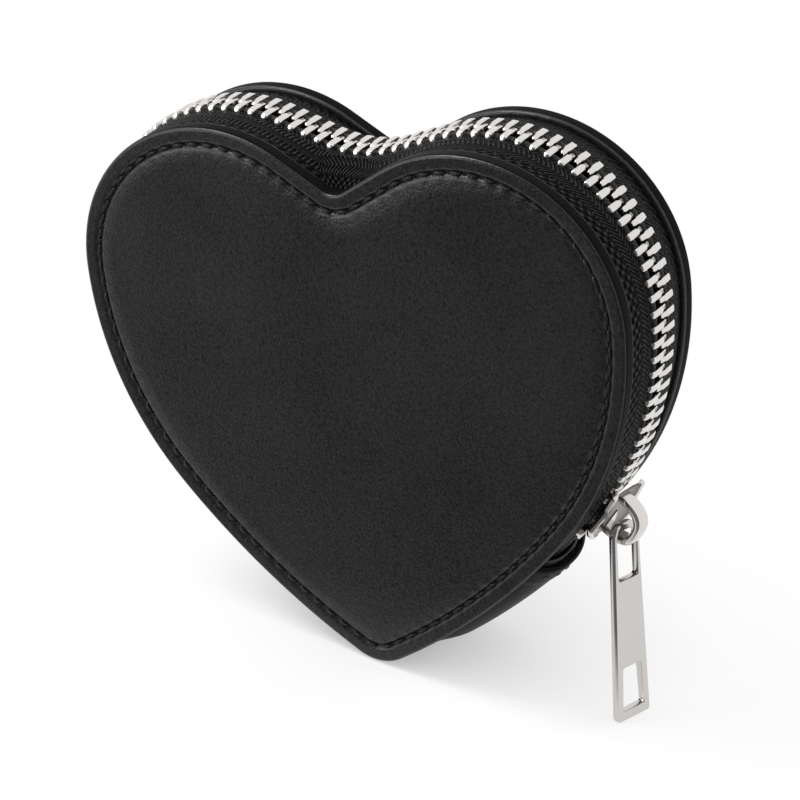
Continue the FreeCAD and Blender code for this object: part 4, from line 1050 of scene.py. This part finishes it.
# %% Slider frame
SLIDER_YAW = math.radians(6.0)
SLIDER_PITCH = math.radians(4.0)
SLIDER_ROLL = math.radians(-10.0)
SLIDER_SLACK = 0.6
HINGE_PLACE = np.array((-2.39, 0.0, 4.83))
SLIDER_WAIST = 1.7
SLIDER_SHOULDER = 2.4
TAIL_HALF = 4.2
SHOULDER_HALF = 6.1
MOUTH_HALF = 5.5
PLATE = 0.8
CHANNEL = 4.8
SLOT = 4.2
LIP = 0.45
DISH = 0.55
DISH_STEPS = 3
MOUTH_ROUND = 2.6
MOUTH_ROUND_SHARE = 0.8
END_ROUND = 0.3
END_STEPS = 5
PLATE_STEPS = 36
WEDGE_HALF = 1.1
WEDGE_SWELL = 1.2
WEDGE_GAP = 0.2
WEDGE_STEPS = 9
slider_top = CHANNEL / 2 + PLATE
pull_joint = next(joint for joint in frame["joints"] if joint["name"] == "pull_swing")
hang_point = np.array(pull_joint["pos_m"]) / MM
chain = chain_axes(slider_at, -1.0)[1][0]
askew = (Matrix.Rotation(SLIDER_YAW, 3, "Z") @ Matrix.Rotation(SLIDER_PITCH, 3, "Y")
         @ Matrix.Rotation(SLIDER_ROLL, 3, "X"))


def on_slider(points):
    """Points of the frame from the slider's own x along the chain, y across and z up.

    It hangs a little askew about the pull's hinge, as a loose slider does under its pull.
    """
    turned = (points - HINGE_PLACE) @ np.array(askew).T - (SLIDER_SLACK, 0.0, 0.0)
    return hang_point + turned @ chain


# %% Slider plates and wedge
lip_foot = SLOT / 2 - slider_top
# Rows of a half section: share of the half width, offset from the edge, height from the plate's top
PLATE_SECTION = np.array((
    (0.0, 0.0, -DISH),
    (0.35, 0.0, -DISH),
    (0.6, 0.0, -DISH * 0.8),
    (1.0, -1.0, -DISH * 0.4),
    (1.0, -0.8, -0.1),
    (1.0, -0.5, 0.0),
    (1.0, -0.2, -0.08),
    (1.0, 0.0, -0.35),
    (1.0, 0.0, lip_foot + 0.15),
    (1.0, -0.12, lip_foot),
    (1.0, -LIP, lip_foot),
    (1.0, -LIP, -PLATE),
    (0.4, 0.0, -PLATE),
    (0.0, 0.0, -PLATE),
))


def plate_half(x):
    """Half width of a plate: the tail, an S curve out to the shoulder, drawn in at the mouth."""
    flare = smooth((SLIDER_WAIST - x) / (SLIDER_WAIST + SLIDER_SHOULDER))
    draw = smooth((-SLIDER_SHOULDER - x) / (SLIDER_MOUTH - SLIDER_SHOULDER))
    half = TAIL_HALF + (SHOULDER_HALF - TAIL_HALF) * flare + (MOUTH_HALF - SHOULDER_HALF) * draw
    return half - MOUTH_ROUND_SHARE * rounding(MOUTH_ROUND, x + SLIDER_MOUTH)


def slider_plate():
    """A plate's section, mirrored across, carried along the slider and rounded at both ends."""
    turn = np.linspace(0, math.pi / 2, END_STEPS)
    x = np.concatenate((
        -SLIDER_MOUTH + END_ROUND * (1 - np.cos(turn)),
        np.linspace(-SLIDER_MOUTH + END_ROUND, SLIDER_TAIL - END_ROUND, PLATE_STEPS)[1:-1],
        SLIDER_TAIL - END_ROUND * (1 - np.sin(turn)),
    ))
    fall = rounding(END_ROUND, np.minimum(x + SLIDER_MOUTH, SLIDER_TAIL - x))
    share, offset, height = PLATE_SECTION.T
    y = share * (plate_half(x) - fall)[:, None] + offset
    z = slider_top + height - fall[:, None] * (height > -PLATE)
    right = np.stack((np.broadcast_to(x[:, None], y.shape), y, z), -1)
    left = right[:, -2:0:-1] * (1, -1, 1)
    points = np.concatenate((right, left), 1)
    return points.reshape(-1, 3), tube_faces(*points.shape[:2])


def wedge():
    """The post between the plates: a drop shape, pointed towards the tail, carried up the slider."""
    share = np.linspace(0, 1, WEDGE_STEPS)
    half = WEDGE_HALF * np.sqrt(smooth(share * WEDGE_SWELL))
    x = -WEDGE_TIP - (SLIDER_MOUTH - WEDGE_TIP - WEDGE_GAP) * share
    rim = np.concatenate((np.stack((x, half), -1), np.stack((x, -half), -1)[:0:-1]))
    level = CHANNEL / 2 + PLATE / 2
    points = np.concatenate([np.insert(rim, 2, height, axis=1) for height in (-level, level)])
    return points, tube_faces(2, len(rim))


def joined(shapes):
    """Several closed shapes as one array of points and one list of faces, each facing outwards."""
    points, faces, count = [], [], 0
    for shape, groups in shapes:
        points.append(shape)
        faces.extend(group + count for group in facing_out(shape, groups))
        count += len(shape)
    return np.concatenate(points), faces


plate, plate_faces = slider_plate()
post, post_faces = wedge()
castings = ((plate, plate_faces), (plate * (1, 1, -1), plate_faces), (post, post_faces))
points, faces = joined([(on_slider(shape), groups) for shape, groups in castings])
# The dish faces of both plates take the dark nickel: painted shade.
columns = len(PLATE_SECTION) * 2 - 2
column = np.arange(len(plate_faces[0])) % columns
plate_dish = np.pad(np.minimum(column, columns - 1 - column) < DISH_STEPS, (0, 2))
post_plain = np.zeros(sum(len(group) for group in post_faces), bool)
slider_piece = make("slider_casting", points, faces, slider_metal, other=dish_shade_metal,
                    other_faces=np.concatenate((plate_dish, plate_dish, post_plain)))
seat(slider_piece, "slider", "metal", "slider_body")

# %% [markdown]
# ### Crown
# The crown is a strong bow over the plate that keeps the pull. Its outer face is broad and rounded
# and shows the brightest reflection. A rounded section is carried round the bow from foot to foot.

# %% Crown bow
CROWN_SHIFT = 0.7
CROWN_HALF = 4.6
CROWN_RISE = 5.3
CROWN_TOP_WALL = 1.5
CROWN_END_WALL = 1.6
CROWN_WIDTH = 2.7
CROWN_SINK = 0.5
CROWN_POWER = 2.7
BOW_STEPS = 48
BOW_SECTION = 24
BOW_BLUNT = 0.5


def signed_power(values, power):
    """A power of the size of each value, with the value's own sign."""
    return np.sign(values) * np.abs(values) ** power


def crown_bow():
    """A blunt section carried round a superellipse: half * cos(a)^(2/p) along, rise * sin(a)^(2/p) up."""
    angle = np.linspace(0.0, math.pi, BOW_STEPS)[:, None]
    turn = np.arange(BOW_SECTION) * 2 * math.pi / BOW_SECTION
    lift = 0.5 + 0.5 * signed_power(np.sin(turn), BOW_BLUNT)
    half = CROWN_HALF - CROWN_END_WALL * (1 - lift)
    top = CROWN_RISE - CROWN_TOP_WALL * (1 - lift)
    x = -CROWN_SHIFT + half * signed_power(np.cos(angle), 2 / CROWN_POWER)
    z = slider_top - CROWN_SINK + (top + CROWN_SINK) * np.abs(np.sin(angle)) ** (2 / CROWN_POWER)
    y = np.broadcast_to(CROWN_WIDTH / 2 * signed_power(np.cos(turn), BOW_BLUNT), x.shape)
    return np.stack((x, y, z), -1)


crown = make_tube("slider_crown_bow", on_slider(crown_bow()), slider_metal)
seat(crown, "slider", "metal", "slider_crown")

# %% [markdown]
# ## Pull
# A stamped and tumbled plate with a loop at the top and a window at the end. Tumbling rolls every
# edge, so the outline and the two holes are rounded loops, each swept with half an ellipse, and the
# flat faces fill what lies between them. Bevels on a block would pinch in the narrow loop.

# %% Pull plate
PULL_LENGTH = 37.8
PULL_BAR = 1.4
PULL_TOP_HALF = 2.85
PULL_END_HALF = 3.8
PULL_THICKNESS = 1.6
PULL_LOOP_LENGTH = 9.3
PULL_LOOP_HALF = 2.05
PULL_WINDOW_LENGTH = 8.3
PULL_WINDOW_HALVES = (2.3, 1.95)
PULL_END_BAR = 2.0
PULL_TURN = math.radians(68.0)
PULL_LEAN = math.radians(1.8)
OUTER_CORNERS = np.array((0.9, 0.9, 2.5, 2.5))
LOOP_CORNERS = np.array((0.4, 0.4, 1.6, 1.6))
WINDOW_CORNERS = np.array((0.35, 0.35, 0.35, 0.35))
OUTER_ROUND = 0.5
HOLE_ROUND = 0.22
CORNER_STEPS = 9
ROUND_STEPS = 9


def on_pull(points):
    """Points of the frame from the pull's own x across, y through and z up, leaned then turned."""
    lean = np.array(Matrix.Rotation(PULL_LEAN, 3, "X"))
    turn = np.array(Matrix.Rotation(PULL_TURN, 3, "Z"))
    return hang_point + points @ (turn @ lean).T


def rounded_loop(corners, radii):
    """A closed line with rounded corners, as centre + radius * (cos a, sin a), and its normals.

    The corners run anticlockwise, and each arc turns from one side's normal to the next side's.
    """
    ahead = np.roll(corners, -1, 0) - corners
    leaving = np.arctan2(-ahead[:, 0], ahead[:, 1])
    coming = np.roll(leaving, 1)
    turn = np.mod(leaving - coming, 2 * math.pi)
    middle_way = coming + turn / 2
    reach = radii / np.cos(turn / 2)
    centre = corners - reach[:, None] * np.stack((np.cos(middle_way), np.sin(middle_way)), -1)
    angle = coming[:, None] + turn[:, None] * np.linspace(0, 1, CORNER_STEPS)
    normals = np.stack((np.cos(angle), np.sin(angle)), -1)
    points = centre[:, None] + radii[:, None, None] * normals
    return points.reshape(-1, 2), normals.reshape(-1, 2)


def round_edge(loop, inward, amount):
    """An edge rolled from one face to the other: inset amount * (1 - sin t), height half * cos t."""
    points, normals = loop
    turn = np.linspace(0, math.pi, ROUND_STEPS)[:, None]
    flat = points + inward * amount * (1 - np.sin(turn))[..., None] * normals
    height = np.broadcast_to(PULL_THICKNESS / 2 * np.cos(turn), flat.shape[:2])
    return np.stack((flat[..., 0], height, flat[..., 1]), -1)


def box_corners(low, high, low_half, high_half):
    """Corners of an upright box that may taper, anticlockwise from the lower left."""
    return np.array(((-low_half, low), (low_half, low), (high_half, high), (-high_half, high)))


def pull_plate():
    """The plate: rolled edges round the outline and both holes, and two flat faces between them."""
    top = PULL_BAR / 2
    end = top - PULL_LENGTH
    window = end + PULL_END_BAR
    outer = box_corners(end, top, PULL_END_HALF, PULL_TOP_HALF)
    loop = box_corners(-top - PULL_LOOP_LENGTH, -top, PULL_LOOP_HALF, PULL_LOOP_HALF)
    hole = box_corners(window, window + PULL_WINDOW_LENGTH, *PULL_WINDOW_HALVES)
    edges = (
        round_edge(rounded_loop(outer, OUTER_CORNERS), -1, OUTER_ROUND),
        round_edge(rounded_loop(loop, LOOP_CORNERS), 1, HOLE_ROUND),
        round_edge(rounded_loop(hole, WINDOW_CORNERS), 1, HOLE_ROUND),
    )
    rims = np.concatenate([edge[0] for edge in edges])
    fill = np.array(tessellate_polygon([[Vector(point) for point in edge[0]] for edge in edges]))
    a, b, c = (rims[fill[:, k]] for k in range(3))
    upward = np.cross(b - a, c - a)[:, 1] > 0
    fill = np.where(upward[:, None], fill, fill[:, ::-1])
    count = edges[0].shape[1]
    base = np.arange(3) * ROUND_STEPS * count
    first = (base[:, None] + np.arange(count)).ravel()
    last = first + (ROUND_STEPS - 1) * count
    side = ring_faces(ROUND_STEPS, count)
    faces = [side[:, ::-1], side + base[1], side + base[2], first[fill], last[fill[:, ::-1]]]
    return np.concatenate([edge.reshape(-1, 3) for edge in edges]), faces


plate_points, plate_cells = pull_plate()
pull = make("pull_plate", on_pull(plate_points), plate_cells, pull_metal)
even = pull.modifiers.new("even", "WEIGHTED_NORMAL")
even.keep_sharp = True
seat(pull, "pull", "metal", "zip_pull")

# %% [markdown]
# ## Stage
# A long lens from the right and above, rolled a little, as the photograph was taken.

# %% Camera
CAMERA_AZIMUTH = math.radians(32.40)
CAMERA_ELEVATION = math.radians(24.02)
CAMERA_ROLL = math.radians(-5.62)
CAMERA_DISTANCE = 514.6
CAMERA_TARGET = np.array((0.58, -10.90, -3.86))
CAMERA_LENS = 135.0
CAMERA_SENSOR = 36.0
CAMERA_NEAR = 10.0
scene = bpy.context.scene
scene.view_settings.view_transform = "Standard"
level_right = np.array((math.cos(CAMERA_AZIMUTH), math.sin(CAMERA_AZIMUTH), 0.0))
away = np.array((
    math.sin(CAMERA_AZIMUTH) * math.cos(CAMERA_ELEVATION),
    -math.cos(CAMERA_AZIMUTH) * math.cos(CAMERA_ELEVATION),
    math.sin(CAMERA_ELEVATION),
))
level_up = np.cross(away, level_right)
camera_right = math.cos(CAMERA_ROLL) * level_right + math.sin(CAMERA_ROLL) * level_up
camera_up = math.cos(CAMERA_ROLL) * level_up - math.sin(CAMERA_ROLL) * level_right


def stand(thing, axes, spot):
    """Turn a camera or a lamp to its right, up and back, and set it at a spot in millimetres."""
    turn = Matrix(np.stack(axes, 1).tolist()).to_4x4()
    turn.translation = (spot * MM).tolist()
    thing.matrix_world = turn
    scene.collection.objects.link(thing)


camera = bpy.data.objects.new("camera", bpy.data.cameras.new("camera"))
camera.data.lens = CAMERA_LENS
camera.data.sensor_width = CAMERA_SENSOR
camera.data.clip_start = CAMERA_NEAR * MM
stand(camera, (camera_right, camera_up, away), CAMERA_TARGET + CAMERA_DISTANCE * away)
scene.camera = camera
print("camera at", list(camera.matrix_world.translation))

# %% [markdown]
# ### Floor
# The purse leans on its tip and on the end of its pull, so the floor under it is a plane through
# those points. It is a small pale disc that fades into a white world, so only its shadow shows.

# %% Floor disc
FLOOR_LEAN = math.radians(11.2)
FLOOR_GAP = 0.15
FLOOR_RADIUS = 150.0
FLOOR_FADE = 70.0
FLOOR_WHITE_SHARES = (0.3, 0.82)
FLOOR_WHITE_REACH = 55.0
FLOOR_FRONT = (-20.0, -45.0)
FLOOR_STEPS = 72
FLOOR_RING_SHARES = np.linspace(0.02, 1.0, 12)
floor_up = np.array((math.sin(FLOOR_LEAN), 0.0, math.cos(FLOOR_LEAN)))
floor_right = np.array((math.cos(FLOOR_LEAN), 0.0, -math.sin(FLOOR_LEAN)))
floor_ahead = np.array((0.0, 1.0, 0.0))
floor_centre = np.array((0.0, middle, tip_level + TIP_RADIUS)) - (TIP_RADIUS + FLOOR_GAP) * floor_up


def floor_disc():
    """A flat disc: centre + radius * (cos a * right + sin a * ahead), in rings."""
    radius = FLOOR_RADIUS * FLOOR_RING_SHARES[:, None, None]
    angle = np.linspace(0, 2 * math.pi, FLOOR_STEPS, endpoint=False)[:, None]
    disc = floor_centre + radius * (np.cos(angle) * floor_right + np.sin(angle) * floor_ahead)
    return disc.reshape(-1, 3), [ring_faces(*disc.shape[:2]), np.arange(FLOOR_STEPS)[None, :]]


def floor_finish():
    """Pale matt paper, darker near the purse as a painted shadow, that fades to clear at its rim and from
    below.

    In front of the purse it is clear to reflections, so that the leather mirrors the dark card.
    """
    material, tree, surface = finish("pale_paper", Base_Color=colour("#f4f4f4"), Roughness=0.9,
                                     Specular_IOR_Level=0.1)
    coords = node(tree, "TexCoord").outputs["Object"]
    spot = (floor_centre * MM).tolist()
    reach = node(tree, "VectorMath", {0: coords, 1: spot}, operation="DISTANCE").outputs["Value"]
    faded = node(tree, "MapRange", {
        "Value": reach,
        "From Min": FLOOR_FADE * MM,
        "From Max": FLOOR_RADIUS * MM,
    }, interpolation_type="SMOOTHSTEP").outputs[0]
    below = node(tree, "NewGeometry").outputs["Backfacing"]
    path = node(tree, "LightPath").outputs
    depth = node(tree, "SeparateXYZ", {0: coords}).outputs[1]
    front = node(tree, "MapRange", {"Value": depth, "From Min": FLOOR_FRONT[0] * MM,
                                    "From Max": FLOOR_FRONT[1] * MM}).outputs[0]
    front = node(tree, "Math", {0: front, 1: path["Is Glossy Ray"]}, operation="MULTIPLY").outputs[0]
    clear = node(tree, "Math", {0: faded, 1: below}, operation="MAXIMUM").outputs[0]
    clear = node(tree, "Math", {0: clear, 1: front}, operation="MAXIMUM").outputs[0]
    is_seen = path["Is Camera Ray"]
    for other_way in ("Is Glossy Ray", "Is Transmission Ray"):
        is_seen = node(tree, "Math", {0: is_seen, 1: path[other_way]}, operation="MAXIMUM").outputs[0]
    # The floor glows less near the purse: a painted shadow round the tip, on top of the cast one.
    whiter = node(tree, "MapRange", {
        "Value": reach,
        "From Max": FLOOR_WHITE_REACH * MM,
        "To Min": FLOOR_WHITE_SHARES[0],
        "To Max": FLOOR_WHITE_SHARES[1],
    }).outputs[0]
    glowing = node(tree, "Math", {0: is_seen, 1: whiter}, operation="MULTIPLY").outputs[0]
    glow = node(tree, "Emission", {"Color": colour("#ffffff"), "Strength": 1.0}).outputs[0]
    paper = node(tree, "MixShader", {0: glowing, 1: surface.outputs[0], 2: glow}).outputs[0]
    hidden = node(tree, "BsdfTransparent").outputs[0]
    mixed = node(tree, "MixShader", {0: clear, 1: paper, 2: hidden}).outputs[0]
    tree.links.new(mixed, tree.nodes["Material Output"].inputs["Surface"])
    return material


floor_points, floor_faces = floor_disc()
floor = make("floor", floor_points, floor_faces, floor_finish(), closed=False)

# %% [markdown]
# ### World
# The camera sees white. Reflections see a white tent with a dark card in front of the purse, which
# keeps the black leather black and draws dark edges on the metal. The rest is plain white light.

# %% World light
WORLD_LIGHT = 0.8
CARD_LEVEL = 0.15
CARD_RIM = math.cos(math.radians(64.0))
CARD_MIDDLE = math.cos(math.radians(42.0))
CARD_SIDE = (0.0, -1.0, 0.0)
scene.world = bpy.data.worlds.new("studio")
scene.world.use_nodes = True
sky = scene.world.node_tree
path = node(sky, "LightPath").outputs
direction = node(sky, "TexCoord").outputs["Generated"]
facing = node(sky, "VectorMath", {0: direction, 1: CARD_SIDE}, operation="DOT_PRODUCT").outputs["Value"]
tent = node(sky, "MapRange", {
    "Value": facing,
    "From Min": CARD_RIM,
    "From Max": CARD_MIDDLE,
    "To Min": 1.0,
    "To Max": CARD_LEVEL,
}, interpolation_type="SMOOTHSTEP").outputs[0]
plain, mirrored, seen = (
    node(sky, "Background", {"Color": colour("#ffffff"), "Strength": strength}).outputs[0]
    for strength in (WORLD_LIGHT, tent, 1.0)
)
lit_side = node(sky, "MixShader", {0: path["Is Glossy Ray"], 1: plain, 2: mirrored}).outputs[0]
is_seen = node(sky, "Math", {0: path["Is Camera Ray"], 1: path["Is Transmission Ray"]},
               operation="MAXIMUM").outputs[0]
shown = node(sky, "MixShader", {0: is_seen, 1: lit_side, 2: seen}).outputs[0]
sky.links.new(shown, sky.nodes["World Output"].inputs["Surface"])

# %% [markdown]
# ### Lamps
# Three softboxes: a large one above gives the shadow its side, one on the left lights the face, and a
# weak one on the right lifts the wall. The right one is kept out of the metal's reflections.

# %% Softboxes
LAMP_DISTANCE = 450.0
# Name, direction by the camera's right, up and back, width in millimetres, watts, shown in reflections
LAMPS = (
    ("top_softbox", (-0.55, 0.8, 0.38), 200.0, 1.2, True),
    ("right_softbox", (1.0, 0.45, -0.1), 160.0, 0.4, False),
    ("left_softbox", (-1.0, 0.1, 0.45), 260.0, 0.7, True),
)


def softbox(name, direction, width, power, reflected):
    """A square area lamp, aimed at the purse."""
    toward = unit(np.array(direction) @ np.stack((camera_right, camera_up, away)))
    lamp = bpy.data.objects.new(name, bpy.data.lights.new(name, "AREA"))
    lamp.data.size = width * MM
    lamp.data.energy = power
    lamp.visible_glossy = reflected
    side = unit(np.cross(camera_up, toward))
    stand(lamp, (side, np.cross(toward, side), toward), CAMERA_TARGET + LAMP_DISTANCE * toward)


for lamp in LAMPS:
    softbox(*lamp)
